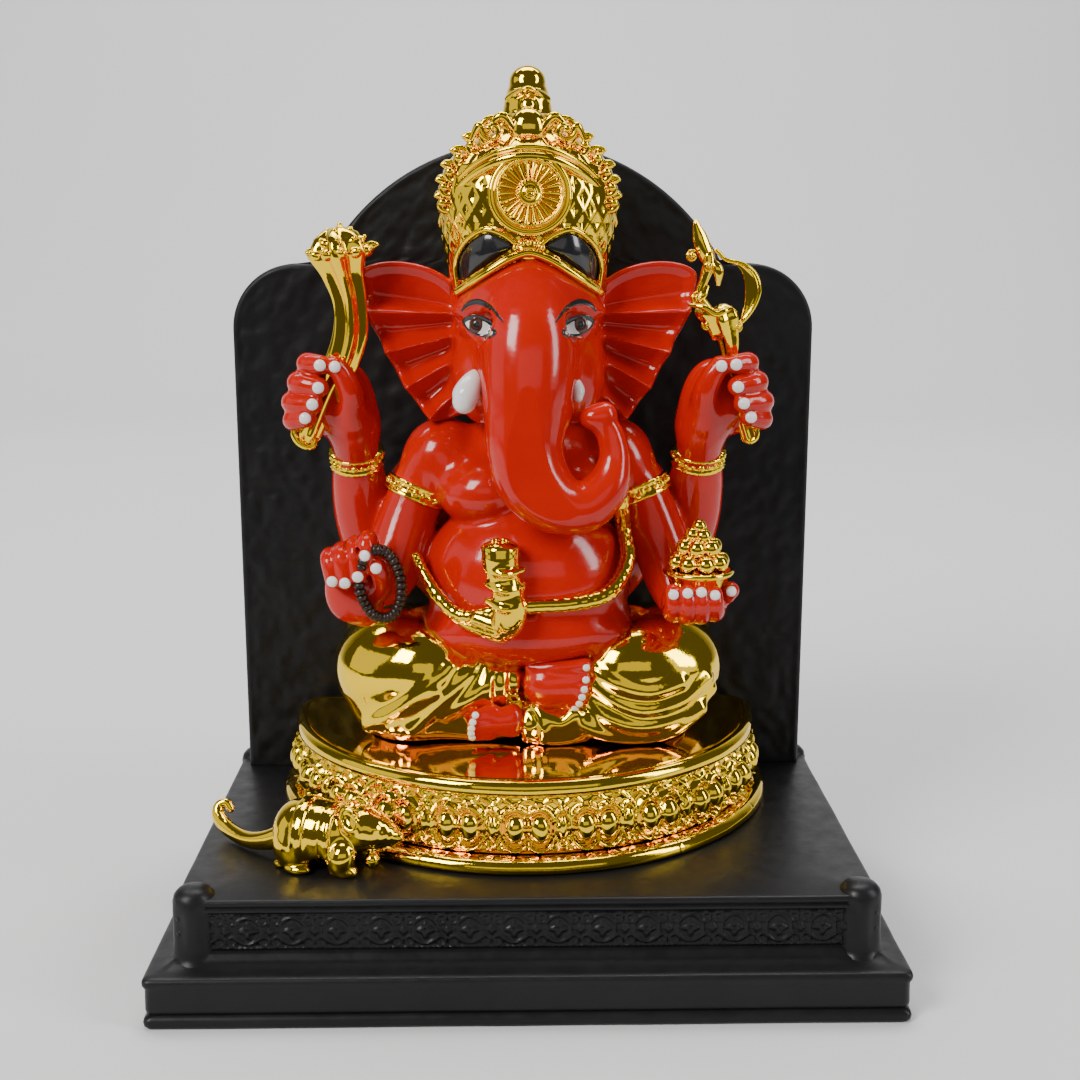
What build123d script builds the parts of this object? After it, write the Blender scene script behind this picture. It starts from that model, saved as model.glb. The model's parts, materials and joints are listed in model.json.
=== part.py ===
from build123d import *
import os
from math import cos, pi, radians, sin, sqrt

# A seated, four-armed, elephant-headed figure on a gold lotus pedestal, in front of an arched
# panel that stands in a moulded plinth. Millimetres, +Z up, the front of the figure faces -Y,
# and the origin is the middle of the plinth's underside. Left and right are the viewer's.

# ---- driving dimensions ----
total_height = 200.0
plinth_width = 162.0
plinth_depth = 108.0
plinth_height = 26.0
plinth_wall = 4.0
plinth_web = 5.0            # thickness of the plinth's top
slab_height = 11.3          # the square-edged lower part
top_inset = 7.7             # how far the top stands in from the slab's edge
frieze_bottom = 15.2
board_thickness = 2.5
felt_thickness = 1.0

panel_width = 144.0
panel_thickness = 7.0
panel_front = 35.1
panel_shoulder = 129.5      # shoulder height above the plinth's top
shoulder_radius = 16.0
arch_radius = 55.5
arch_centre = 103.5         # arch centre above the plinth's top
tenon_width = 120.0
tenon_depth = 4.0

pedestal_y = 23.9           # centre of the pedestal's round front
pedestal_radius = 60.5
pedestal_height = 20.5
pedestal_back = 35.0
drum_radius = 55.5
drum_wall = 4.0
rim_radius = 57.2
top_radius = 54.0
foot_height = 3.4
rim_height = 3.6
top_plate = 2.0

figure_x = 0.7              # the figure sits a little to the right of the plinth's middle

seat = plinth_height + pedestal_height     # height of the surface the figure sits on
frieze_y = plinth_depth / 2 - top_inset
frieze_x = plinth_width / 2 - top_inset


# ---- shape helpers ----
def egg(centre, radii, turn=(0, 0, 0)):
    """An ellipsoid."""
    return Pos(*centre) * Rot(*turn) * scale(Sphere(1), by=radii)


def bead(centre, radius):
    return Pos(*centre) * Sphere(radius)


def joint(centre, radius):
    """A ball with its poles to the sides, for the joints of hands and fingers."""
    return Pos(*centre) * Rot(0, 90, 0) * Sphere(radius)


def rod(start, end, radius, end_radius=None):
    """A straight round bar, or a taper, between two points."""
    a, b = Vector(*start), Vector(*end)
    length = (b - a).length
    middle = Plane(origin=(a + b) * 0.5, z_dir=b - a)
    if end_radius is None:
        return middle * Cylinder(radius, length)
    return middle * Cone(radius, end_radius, length)


def finger(start, knuckle, tip, radius):
    """Two phalanges with slightly swollen, rounded joints."""
    joints = joint(start, radius * 1.05) + joint(knuckle, radius * 1.05) + joint(tip, radius)
    return joints + rod(start, knuckle, radius * 0.97) + rod(knuckle, tip, radius * 0.97, radius * 0.9)


def limb(points, radii, across=(0, 1, 0)):
    """A round bar of changing radius along a smooth line, one radius at each point."""
    line = Spline(*points)
    sections = []
    for point, radius in zip(points, radii):
        along = line.param_at_point(point)
        plane = Plane(origin=line @ along, x_dir=across, z_dir=line % along)
        sections.append(plane * Circle(radius))
    return loft(sections)


def mirrored(shape):
    """The same piece on the other side of the figure."""
    return mirror(shape, about=Plane.YZ)


def trimmed(piece, *neighbours):
    """A piece cut back to where it beds on its neighbours; crumbs left by the cut are dropped."""
    for other in neighbours:
        piece = piece - other
    return max(piece.solids(), key=lambda solid: solid.volume)


def grouped(shapes):
    """Several separate pieces kept in one node."""
    return Compound(children=[solid for shape in shapes for solid in shape.solids()])


# ---- stand ----
def block(width, depth, low, high):
    return Pos(0, 0, (low + high) / 2) * Box(width, depth, high - low)


def plinth():
    slab = block(plinth_width, plinth_depth, 0, slab_height)
    slab = fillet(slab.edges().group_by(Axis.Z)[0], 2.2)
    slab = slab - block(plinth_width + 2, plinth_depth + 2, 4.6, 5.4) + block(
        plinth_width - 1.2, plinth_depth - 1.2, 4.2, 5.8
    )
    frieze = block(2 * frieze_x, 2 * frieze_y, slab_height, plinth_height - 2.8)
    cap = block(2 * frieze_x + 1.6, 2 * frieze_y + 1.6, plinth_height - 2.8, plinth_height)
    cap = fillet(cap.edges().filter_by(Axis.Z, reverse=True), 1.2)
    body = slab + cove() + frieze + cap
    for x, y, turn in motif_places():
        ring = Pos(x, y, 19.2) * Rot(0, 0, turn) * Rot(90, 0, 0) * (
            Cylinder(2.9, 1.0) - Cylinder(2.1, 1.2) + Cylinder(0.9, 1.2)
        )
        body = body + ring
    hollow_top = plinth_height - plinth_web
    hollow = block(2 * frieze_x - 2 * plinth_wall, 2 * frieze_y - 2 * plinth_wall, 0, hollow_top)
    rebate = block(2 * frieze_x, 2 * frieze_y, 0, board_thickness + felt_thickness)
    body = body - hollow - rebate
    for x, y in screw_posts():
        body = body + Pos(x, y, 12.5) * Cylinder(4, 18)
    return body


def cove():
    """The concave moulding between the slab and the frieze."""
    rise = frieze_bottom - slab_height
    inset = top_inset - 1.4
    low = Pos(0, 0, slab_height) * Rectangle(plinth_width - 2.8, plinth_depth - 2.8)
    middle = Pos(0, 0, slab_height + rise * 0.35) * Rectangle(
        plinth_width - 2.8 - 1.4 * inset, plinth_depth - 2.8 - 1.4 * inset
    )
    high = Pos(0, 0, frieze_bottom) * Rectangle(2 * frieze_x, 2 * frieze_y)
    return loft([low, middle], ruled=True) + loft([middle, high], ruled=True)


def motif_places():
    """Centres of the raised rings of the frieze, on all four sides."""
    places = []
    pitch = 10.2
    for i in range(13):
        x = (i - 6) * pitch
        places += [(x, -frieze_y, 0), (x, frieze_y, 0)]
    for i in range(7):
        y = (i - 3) * pitch
        places += [(-frieze_x, y, 90), (frieze_x, y, 90)]
    return places


def screw_posts():
    x, y = frieze_x - 9, frieze_y - 9
    return [(x, y), (-x, y), (x, -y), (-x, -y)]


def corner_post():
    x, y = frieze_x - 1.6, frieze_y - 1.6
    post = Pos(x, y, 19.6) * Cylinder(4.4, 11.6)
    post = post + egg((x, y, 25.4), (4.4, 4.4, 2.7)) + egg((x, y, 13.8), (4.4, 4.4, 2.4))
    return post


def corner_posts(*neighbours):
    first = corner_post()
    four = [first, mirror(first, about=Plane.YZ)]
    four += [mirror(post, about=Plane.XZ) for post in four]
    return grouped([trimmed(post, *neighbours) for post in four])


def screw(tip, head_radius, shank_radius, length):
    """A countersunk screw that points up, with its head at the bottom."""
    x, y, z = tip
    head = Pos(x, y, z - length + 0.8) * Cone(head_radius, shank_radius, 1.6)
    shank = Pos(x, y, z - length / 2) * Cylinder(shank_radius, length - 1.6)
    slot = Pos(x, y, z - length) * Box(2 * head_radius, 0.6, 0.8)
    return head + shank - slot


def board_screws():
    return [screw((x, y, 14.0), 3.0, 1.5, 14.0 - felt_thickness) for x, y in screw_posts()]


def bottom_board():
    z = felt_thickness + board_thickness / 2
    return Pos(0, 0, z) * Box(2 * frieze_x, 2 * frieze_y, board_thickness)


def base_felt():
    return Pos(0, 0, felt_thickness / 2) * Box(2 * frieze_x, 2 * frieze_y, felt_thickness)


def backdrop_panel():
    """The panel's outline is two round shoulders and a wide central arch."""
    base = plinth_height
    flank = Pos(0, base + panel_shoulder / 2) * Rectangle(panel_width, panel_shoulder)
    flank = fillet(flank.vertices().group_by(Axis.Y)[-1], shoulder_radius)
    arch = Pos(0, base + arch_centre) * Circle(arch_radius)
    below = Pos(0, base + arch_centre / 2) * Rectangle(2 * arch_radius, arch_centre)
    outline = flank + (arch - below)
    middle = panel_front + panel_thickness / 2
    sheet = extrude(Plane.XZ * outline, amount=panel_thickness / 2, both=True)
    sheet = Pos(0, middle, 0) * sheet
    sheet = chamfer(sheet.faces().sort_by(Axis.Y)[0].outer_wire().edges(), 0.6)
    tenon = Pos(0, middle, base - tenon_depth / 2) * Box(tenon_width, panel_thickness - 2, tenon_depth)
    return sheet + tenon


def panel_screws():
    y = panel_front + panel_thickness / 2
    top = plinth_height + 12
    return [screw((x, y, top), 2.4, 1.1, top - (plinth_height - plinth_web)) for x in (-40, 40)]


# ---- pedestal ----
def d_shape(radius):
    """Round in front, flat at the back, for a given front radius."""
    back = pedestal_back - (pedestal_radius - radius)
    corner = back - pedestal_y
    front = ThreePointArc((-radius, pedestal_y), (0, pedestal_y - radius), (radius, pedestal_y))
    quarter = sqrt(0.5) * corner
    right = ThreePointArc(
        (radius, pedestal_y),
        (radius - corner + quarter, pedestal_y + quarter),
        (radius - corner, back),
    )
    rear = Line((radius - corner, back), (corner - radius, back))
    left = ThreePointArc(
        (corner - radius, back),
        (corner - radius - quarter, pedestal_y + quarter),
        (-radius, pedestal_y),
    )
    return make_face([front, right, rear, left])


def d_slab(radius, low, high):
    return extrude(Pos(0, 0, low) * d_shape(radius), amount=high - low)


def pedestal_drum():
    low = plinth_height
    drum = d_slab(drum_radius, low, seat - top_plate)
    hollow = d_slab(drum_radius - drum_wall, low, seat - top_plate - 2.5)
    return drum - hollow


def pedestal_foot_rim():
    ring = d_slab(pedestal_radius, plinth_height, plinth_height + foot_height)
    ring = fillet(ring.edges().filter_by(Axis.Z, reverse=True), foot_height * 0.45)
    return ring - d_slab(drum_radius, plinth_height - 1, plinth_height + foot_height + 1)


def pedestal_top():
    return d_slab(top_radius, seat - top_plate, seat)


def pedestal_top_rim():
    low = seat - rim_height
    ring = d_slab(rim_radius, low, seat)
    ring = fillet(ring.edges().filter_by(Axis.Z, reverse=True), rim_height * 0.42)
    return ring - d_slab(top_radius, low - 1, seat + 1) - d_slab(drum_radius, low - 1, seat - top_plate)


def around(angle, radius, height):
    """A place on the round front: x to the right, y outwards, z up."""
    a = radians(angle)
    spot = (radius * sin(a), pedestal_y - radius * cos(a), height)
    return Plane(origin=spot, x_dir=(cos(a), sin(a), 0), z_dir=(0, 0, 1))


def lotus_panel(angle, width):
    """An upright panel with a round top and a raised boss."""
    low = plinth_height + foot_height
    height = 7.2
    arch = Pos(0, height / 2) * Rectangle(width, height) + Pos(0, height) * Circle(width / 2)
    turned = around(angle, drum_radius - 1.0, low)
    upright = turned * Rot(90, 0, 0)
    panel = extrude(upright * arch, amount=3.0)
    return panel + turned * Pos(0, -2.8, height * 0.62) * Sphere(width * 0.34)


def pedestal_lotus_panels():
    shell = d_slab(drum_radius, plinth_height - 1, seat + 1)
    panels = []
    step = 9.0
    for i in range(-10, 11):
        angle = i * step
        wide = i % 2 == 0
        panels.append(lotus_panel(angle, 7.4 if wide else 4.6) - shell)
    return panels


def pedestal_neck_ribs():
    """Small upright beads in a row below the rim."""
    ribs = []
    height = seat - rim_height - 1.2
    for i in range(-17, 18):
        place = around(i * 5.2, drum_radius + 0.75, height)
        ribs.append(place * Cylinder(0.75, 2.4))
    return ribs


def dowel_places():
    return [(-30.0, 12.0), (30.0, 12.0)]


def pedestal_dowels():
    """Two pins from the plinth's top into the lugs inside the drum."""
    z = plinth_height
    return [Pos(x, y, z + 1.0) * Cylinder(3.0, 9.0) for x, y in dowel_places()]


def pedestal_lugs():
    low, high = plinth_height, seat - top_plate - 2.5
    return [Pos(x, y, (low + high) / 2) * Cylinder(6.0, high - low) for x, y in dowel_places()]


# ---- mouse ----
mouse = (-47.4, -28.0, 33.2)
mouse_turn = -18.0


def mouse_part(shape):
    return Pos(*mouse) * Rot(0, 0, mouse_turn) * shape


def mouse_body():
    line = [(-9.2, 0, 0), (-6.0, 0, 0), (0, 0, 0), (6.0, 0, 0.2), (9.4, 0, 0.4)]
    return mouse_part(limb(line, [2.6, 5.8, 7.0, 5.8, 4.4]))


def mouse_bands():
    """Two flat straps round the body."""
    straps = []
    for x in (-2.6, 3.4):
        straps.append(mouse_part(Pos(x, 0, 0) * Rot(0, 90, 0) * Cylinder(7.4, 1.6)))
    return straps


def mouse_head():
    muzzle = limb([(8, 0, 0.5), (11.4, 0, 1.6), (15, 0.4, 1.6), (18, 0.6, 1.0)], [5.0, 4.6, 2.8, 1.3])
    ears = bead((8.6, -3.2, 5.6), 2.0) + bead((8.6, 3.2, 5.6), 2.0)
    return mouse_part(muzzle + bead((18, 0.6, 1.0), 1.35) + ears)


def mouse_tail():
    points = [(-8.5, 0, -1), (-14, 6.5, -4.8), (-20, 12, -4.6), (-24.5, 15.2, -1.8), (-23.6, 16.6, 0.4)]
    return mouse_part(limb(points, [1.7, 1.3, 1.1, 1.0, 0.9], across=(0, 0, 1)))


def mouse_feet():
    feet = []
    for x, y in ((-5, -4.6), (-5, 4.6), (7.5, -5.0), (7.5, 4.4)):
        feet.append(mouse_part(rod((x - 1, y, -5.4), (x + 2, y, -5.7), 1.7, 1.4)))
    return feet


# ---- figure: every place here is from the figure's own centre line ----
belly = ((0, 5.0, 84.0), (23.0, 19.5, 20.5))
chest = ((0, 10.0, 107.0), (22.0, 14.0, 17.0))


def on_front(x, z, lift=0.0):
    """The point of the belly or chest straight behind (x, z), stood off by lift."""
    front = 12.0
    for (cx, cy, cz), (rx, ry, rz) in (belly, chest):
        inside = 1 - ((x - cx) / rx) ** 2 - ((z - cz) / rz) ** 2
        if inside > 0:
            front = min(front, cy - ry * sqrt(inside))
    return (x, front - lift, z)


def torso():
    return egg(*belly) + egg(*chest)


def hip_cloth():
    """The seated hips, wrapped in cloth, between the legs and under the belly."""
    heights = [seat, seat + 8, seat + 19, seat + 26]
    halves = [(25, 13.0), (28, 16.0), (27, 16.0), (17, 11.0)]
    return loft([Pos(0, 17, z) * Ellipse(wide, deep) for z, (wide, deep) in zip(heights, halves)])


def leg():
    """The left leg: a full knee and thigh, and a shin that runs in to the middle."""
    knee = egg((-29, 8, 60), (17, 17, 13.6))
    shin = egg((-15, -2.5, 54.5), (17, 8.6, 8.2), (0, 0, -12))
    return knee + shin


def front_pleats():
    pleats = []
    for i in range(6):
        x = -2.5 + 3.3 * i
        pleats.append(rod((x, -9.0, seat), (x * 0.8, -8.0, seat + 8.5), 1.9, 1.5))
    fan = pleats[0]
    for pleat in pleats[1:]:
        fan = fan + pleat
    return fan + egg((6, -6, seat + 4), (9, 4, 4.2))


def fan(root, root_radius, ends, end_radius):
    """Round bars that spread from one rounded root: the flat of a hand."""
    shape = joint(root, root_radius * 1.06)
    for end in ends:
        shape = shape + rod(root, end, root_radius, end_radius) + joint(end, end_radius * 1.06)
    return shape


def spread(start, end, count):
    """Evenly spaced places from start to end."""
    a, b = Vector(*start), Vector(*end)
    places = [a + (b - a) * (i / (count - 1)) for i in range(count)]
    return [(place.X, place.Y, place.Z) for place in places]


def foot(heel, instep, toe_start, toe_end):
    """A short broad foot with five toes in a row across its end."""
    tip = tuple((a + b) / 2 for a, b in zip(toe_start, toe_end))
    ball = tuple(t + (m - t) / 4 for t, m in zip(tip, instep))
    shape = limb([heel, instep, ball], [3.4, 4.9, 4.6]) + bead(heel, 3.42)
    for i, toe in enumerate(spread(toe_start, toe_end, 5)):
        shape = shape + bead(toe, 1.85 - 0.1 * i)
    return shape


def right_foot():
    """Folded over the other shin, sole up, toes down its outer edge."""
    return foot((2.2, -7.6, 60.6), (7.4, -7.2, 61.0), (14.0, -9.6, 64.4), (11.6, -10.6, 56.6))


def left_foot():
    return foot((-2.6, -9.0, 51.8), (-7.6, -8.8, 52.4), (-13.4, -12.0, 54.6), (-12.8, -12.6, 49.4))


def thread_snake():
    """The sacred thread: a thin snake round the belly, up over the right shoulder."""
    across_belly = [(-27.0, 87.6), (-21.5, 80.6), (-13.4, 77.6), (-6.0, 78.6), (4.0, 81.0), (14.0, 82.4)]
    up_side = [(20.2, 88.0), (21.2, 95.0), (20.6, 102.0), (19.4, 109.0)]
    points = [on_front(x, z, 0.9) for x, z in across_belly + up_side]
    line = Spline(*points)
    start = Plane(origin=line @ 0, z_dir=line % 0)
    return sweep(start * Circle(1.7), path=line)


def snake_hood():
    x, y, z = on_front(-6.4, 87.5, 1.6)
    hood = egg((x, y, z), (4.2, 2.6, 7.6))
    head = egg((x, y - 1.6, z + 6.0), (3.2, 3.2, 2.6))
    tail = limb(
        [on_front(-6.0, 80.0, 1.6), on_front(-10.0, 75.6, 1.9), on_front(-17.5, 76.4, 1.7)],
        [2.4, 2.3, 1.2],
    )
    return hood + head + tail


def head():
    skull = egg((0, 5, 141), (17.2, 16, 19))
    cheeks = egg((0, 4, 128), (17.6, 13, 12.5))
    return skull + cheeks


def trunk():
    """Down over the belly, then round to the right and up to its tip."""
    points = [
        (0, -7.0, 148), (-0.3, -11.5, 140), (-0.7, -14.5, 131), (-1.2, -16.5, 123),
        (-1.2, -18.0, 116), (0.8, -18.6, 110.4), (5.6, -18.8, 107.6), (12.0, -18.4, 107.4),
        (17.2, -17.6, 110.4), (19.0, -16.6, 115.4), (18.2, -16.0, 120.2), (16.8, -15.6, 123.4),
    ]
    radii = [9.6, 10.6, 9.6, 8.6, 7.8, 6.4, 4.8, 4.1, 3.8, 3.4, 3.1, 3.0]
    return limb(points, radii) + bead((16.8, -15.6, 123.6), 3.2)


def left_ear():
    """A thin fan with a scalloped edge, stiffened by folds that spread from its root."""
    edge = [
        (-15.5, 150.5), (-21, 154.6), (-28, 156.6), (-38.3, 154.3), (-37.6, 147.1), (-35.0, 140.6),
        (-31.6, 135.4), (-28.5, 128.6), (-22.5, 121.0), (-15.0, 121.5),
    ]
    outline = make_face(Polyline(*edge, close=True))
    fan = extrude(Plane.XZ * outline, amount=1.3, both=True)
    root = (-14, 136)
    folds = [(-36.0, 150.6), (-34.6, 143.0), (-31.4, 136.8), (-27.6, 130.0)]
    for x, z in folds:
        fan = fan + rod((root[0], -0.4, root[1]), (x, -1.0, z), 1.6, 1.3)
    return Pos(0, 7.5, 0) * fan


def left_tusk():
    """Short and blunt, as the broken tusk is shown."""
    return limb([(-10.5, -6, 134), (-12.6, -9.4, 131), (-13.4, -11.6, 128.4)], [1.8, 2.8, 3.1]) + bead(
        (-13.4, -11.8, 128.0), 3.1
    )


def right_tusk():
    return limb([(9.5, -6, 134.5), (11.4, -9.6, 131), (12.0, -12.2, 127.4)], [2.4, 2.0, 1.1])


def upper_left_arm():
    """From behind the shoulder down to the elbow, and up to the raised wrist."""
    elbow = (-37.0, 16.5, 86.0)
    upper = limb([(-17, 15, 112), (-28, 17, 99), elbow], [8.2, 7.2, 6.4])
    fore = limb([elbow, (-40.4, 13.4, 99), (-40.4, 9.6, 115)], [6.4, 6.0, 5.2])
    return upper + fore + bead(elbow, 6.5)


def fist(side):
    """A hand closed on a slanted grip: four fingers and a thumb. Side is -1 on the left, 1 on the right."""
    wrist = (side * 40.4, 8.6, 116.0)
    grip = spread((side * 42.6, 6.0, 133.4), (side * 51.0, 6.0, 117.2), 9)[1::2]
    knuckles = [(x - side * 4.4, y - 0.6, z - 0.8) for x, y, z in grip]
    shape = fan(wrist, 4.6, knuckles, 3.0) + joint((side * 42.0, 7.6, 121.0), 5.6)
    for (x, y, z), knuckle in zip(grip, knuckles):
        middle, tip = (x + side * 2.4, y - 4.0, z + 0.4), (x - side * 1.4, y - 5.4, z - 0.8)
        shape = shape + finger(knuckle, middle, tip, 2.3)
    return shape


def lower_left_arm():
    points = [(-21, 8, 113.5), (-27, 6.5, 103), (-30.5, 4.0, 92), (-32.0, -0.5, 85.6), (-34.6, -4.6, 84.2)]
    return limb(points, [7.2, 7.0, 6.6, 6.0, 4.8])


def lower_left_hand():
    """Open, palm to the front, in blessing."""
    wrist = (-36.4, -7.0, 82.0)
    roots = spread((-43.6, -8.6, 87.4), (-33.2, -8.6, 89.0), 4)
    shape = fan(wrist, 4.4, roots, 2.9)
    for i, (x, y, z) in enumerate(roots):
        shape = shape + finger((x, y, z), (x, y - 0.8, z + 3.2), (x + 0.2, y - 1.6, z + 5.6 - 0.5 * i), 2.1)
    return shape + finger((-33.0, -9.0, 82.4), (-31.0, -10.6, 85.6), (-31.4, -11.4, 88.2), 2.1)


def lower_right_arm():
    points = [(21, 8, 113.5), (26.4, 6.5, 103), (31.4, 4.0, 91), (34.4, 0.0, 83.4), (36.4, -4.0, 80.4)]
    return limb(points, [7.2, 6.8, 6.4, 5.8, 4.8])


def lower_right_hand():
    """Cupped, palm up, under the bowl."""
    roots = spread((33.6, -11.8, 77.4), (43.4, -11.8, 77.4), 4)
    shape = fan((37.6, -5.6, 78.6), 4.2, roots, 2.7)
    for x, y, z in roots:
        shape = shape + finger((x, y, z), (x + 0.4, y - 3.2, z + 1.0), (x + 0.6, y - 4.2, z + 3.4), 1.9)
    return shape + finger((42.6, -8.4, 78.6), (45.8, -10.0, 80.6), (46.0, -10.8, 82.8), 1.9)


def ring_on(centre, direction, inner, outer, width):
    """A plain band round a limb."""
    plane = Plane(origin=centre, z_dir=direction)
    band = plane * (Cylinder(outer, width) - Cylinder(inner, width + 1))
    return band


def bracelets():
    bands = [
        ring_on((-40.4, 11.2, 111.0), (0.1, -0.5, 1), 4.6, 6.8, 3.8),
        ring_on((40.4, 11.2, 111.0), (-0.1, -0.5, 1), 4.6, 6.8, 3.8),
    ]
    return bands


def armlets():
    return [
        ring_on((-26.5, 6.5, 104.0), (-0.38, -0.13, -1), 5.6, 8.0, 3.4),
        ring_on((26.0, 6.5, 104.0), (0.38, -0.13, -1), 5.6, 7.8, 3.4),
    ]


# ---- crown ----
def ellipse_at(height, half_width, half_depth, y=8.0):
    return Pos(0, y, height) * Ellipse(half_width, half_depth)


def crown_body():
    """A tall cap that widens upwards and closes in a low dome."""
    wall = loft(
        [
            ellipse_at(149.5, 17.4, 15.0, 7.0),
            ellipse_at(158, 19.0, 16.0, 7.4),
            ellipse_at(168, 20.2, 16.2),
            ellipse_at(176, 19.0, 15.4),
            ellipse_at(182.5, 13.6, 11.6, 9.0),
            ellipse_at(186.5, 6.6, 6.4, 10.0),
        ]
    )
    return wall


def crest_arch(scale_up):
    """The arched outline of the crest: upright sides and a round top."""
    half, top, foot_z = 20.8 * scale_up, 161 + 28.5 * scale_up, 161
    return make_face(
        [
            Spline((-half, 174), (-half * 0.78, top - 4.2), (0, top), (half * 0.78, top - 4.2), (half, 174)),
            Line((half, 174), (half, foot_z)),
            Line((half, foot_z), (-half, foot_z)),
            Line((-half, foot_z), (-half, 174)),
        ]
    )


def crown_crest():
    band = crest_arch(1.0) - crest_arch(0.78)
    plate = extrude(Plane.XZ * band, amount=1.6, both=True)
    return Pos(0, 2.6, 0) * plate


def crown_finial():
    """A petalled cup, a neck and a two-stage knob."""
    stages = [
        (185.8, 5.4, 4.6), (187.4, 8.2, 6.4), (189.0, 6.4, 5.4), (190.8, 4.9, 4.9),
        (193.2, 4.3, 4.3), (195.2, 3.7, 3.7), (197.0, 4.2, 4.2), (198.8, 2.9, 2.9), (total_height, 0.8, 0.8),
    ]
    rings = [Pos(0, 10.0, z) * Ellipse(across, deep) for z, across, deep in stages]
    return loft(rings)


def crown_rosette():
    """A fluted disc with a boss, leaning with the front of the crown."""
    disc = Cylinder(9.6, 2.6) - Pos(0, 0, 2.2) * Cylinder(8.6, 3)
    disc = disc + Pos(0, 0, 0.8) * Cylinder(3.0, 2.2) + Pos(0, 0, 1.9) * Sphere(1.9)
    for i in range(20):
        disc = disc + Rot(0, 0, i * 18) * Pos(5.6, 0, 0.9) * Rot(0, 90, 0) * Cylinder(0.55, 5.6)
    return Pos(0, -8.6, 171.5) * Rot(90, 0, 0) * disc


def brow_band():
    points = [(-16.4, 1.6, 150.8), (-8.6, -7.2, 155.6), (0, -9.2, 160.6), (8.6, -7.2, 155.6), (16.4, 1.6, 150.8)]
    line = Spline(*points)
    return sweep(Plane(origin=line @ 0, z_dir=line % 0) * Circle(1.5), path=line)


def crown_insets():
    """Two black leaf-shaped panels between the brow band and the crown."""
    insets = []
    for side in (-1, 1):
        line = [(side * 15.4, -1.2, 156.2), (side * 11.6, -3.8, 158.6), (side * 7.4, -6.0, 161.8)]
        insets.append(limb(line, [1.2, 3.3, 1.2]))
    return insets


def flower_stem():
    """A curved horn of petals: a small ring below the fist, a flared top."""
    grip = rod((-52.0, 5.6, 117.4), (-41.0, 5.6, 133.0), 1.5)
    horn = limb(
        [(-41.0, 5.6, 133.0), (-38.8, 5.6, 140.0), (-38.6, 5.6, 149.0), (-40.6, 5.6, 158.6)],
        [2.0, 3.2, 4.4, 6.6],
    )
    cap = egg((-41.2, 5.6, 160.4), (7.6, 6.4, 4.4), (0, -12, 0))
    ring = Pos(-52.6, 5.6, 116.4) * Rot(90, 0, 0) * Torus(1.9, 0.8)
    return grip + bead((-41.0, 5.6, 133.0), 2.0) + horn + cap + ring


def axe_shaft():
    return rod((51.4, 6.0, 116.4), (43.0, 6.0, 146.0), 1.3)


def axe_head():
    """A socket with a crescent blade on one side and a spear point on top."""
    crescent = Pos(44.6, 150) * Circle(8.0) - Pos(39.2, 151.4) * Circle(6.4)
    spear = make_face(Polyline((37.0, 157.0), (38.4, 166.0), (42.6, 157.6), (41.6, 152.0), close=True))
    plate = extrude(Plane.XZ * (crescent + spear), amount=1.1, both=True)
    socket = rod((44.8, 0, 140.6), (41.2, 0, 155.0), 2.4, 2.0)
    return Pos(0, 5.6, 0) * (plate + socket)


def rosary():
    """A ring of beads that hangs in the open hand."""
    beads = []
    for i in range(30):
        turn = 2 * pi * i / 30
        centre = (-33.4 + 5.2 * cos(turn), -12.6, 84.4 + 8.2 * sin(turn))
        beads.append(bead(centre, 0.98))
    return beads


def sweet_bowl():
    """A small round bowl with a rolled rim."""
    outer = Cone(5.0, 7.4, 4.6) - Pos(0, 0, 1.2) * Cone(4.2, 6.6, 4.6)
    return Pos(38.4, -9.6, 85.2) * (outer + Pos(0, 0, 2.3) * Torus(7.2, 0.8))


def sweets():
    """Round sweets stacked in a pyramid."""
    balls = []
    for level, (count, ring, height) in enumerate([(6, 4.2, 87.8), (4, 2.5, 91.8), (1, 0.0, 95.6)]):
        for i in range(count):
            turn = 2 * pi * i / count + 0.3 * level
            balls.append(bead((38.4 + ring * cos(turn), -9.6 + ring * sin(turn), height), 2.05))
    return balls


# ---- inner pins ----
def neck_dowel():
    return Pos(0, 8, 123) * Cylinder(3.0, 14)


def figure_dowels():
    return [Pos(x, 16, seat - 1) * Cylinder(2.5, 12) for x in (-16, 16)]


# ---- assembly ----
def stand_nodes():
    body = plinth()
    panel = backdrop_panel()
    board, felt = bottom_board(), base_felt()
    low_screws, high_screws = grouped(board_screws()), grouped(panel_screws())
    pins = grouped(pedestal_dowels())
    drum = pedestal_drum()
    for lug in pedestal_lugs():
        drum = drum + lug
    panel = panel - high_screws
    body = body - panel - low_screws - high_screws - pins
    board = board - low_screws
    felt = felt - low_screws
    drum = drum - pins
    rim, ring = pedestal_top_rim(), pedestal_foot_rim()
    figure_pins = [Pos(figure_x, 0, 0) * pin for pin in figure_dowels()]
    top = pedestal_top()
    for pin in figure_pins:
        drum, top = drum - pin, top - pin
    return {
        "plinth": body,
        "corner_posts": corner_posts(body, panel),
        "bottom_board": board,
        "base_felt": felt,
        "board_screws": low_screws,
        "backdrop_panel": panel,
        "panel_screws": high_screws,
        "pedestal_drum": drum,
        "pedestal_top": top,
        "pedestal_top_rim": rim,
        "pedestal_neck_ribs": grouped([rib - drum for rib in pedestal_neck_ribs()]),
        "pedestal_lotus_panels": grouped(pedestal_lotus_panels()),
        "pedestal_foot_rim": ring,
        "pedestal_dowels": pins,
        "figure_dowels": grouped(figure_pins),
    }


def mouse_nodes(*pedestal):
    floor = block(plinth_width, plinth_depth, 0, plinth_height)
    feet = mouse_feet()
    head = trimmed(mouse_head(), floor, *feet, *pedestal)
    body = trimmed(mouse_body(), head, floor, *feet, *pedestal)
    tail = trimmed(mouse_tail(), body, floor)
    bands = [trimmed(strap, body, floor, head, *feet, *pedestal) for strap in mouse_bands()]
    return {
        "mouse_body": body,
        "mouse_bands": grouped(bands),
        "mouse_head": head,
        "mouse_tail": tail,
        "mouse_feet": grouped(feet),
    }


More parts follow.
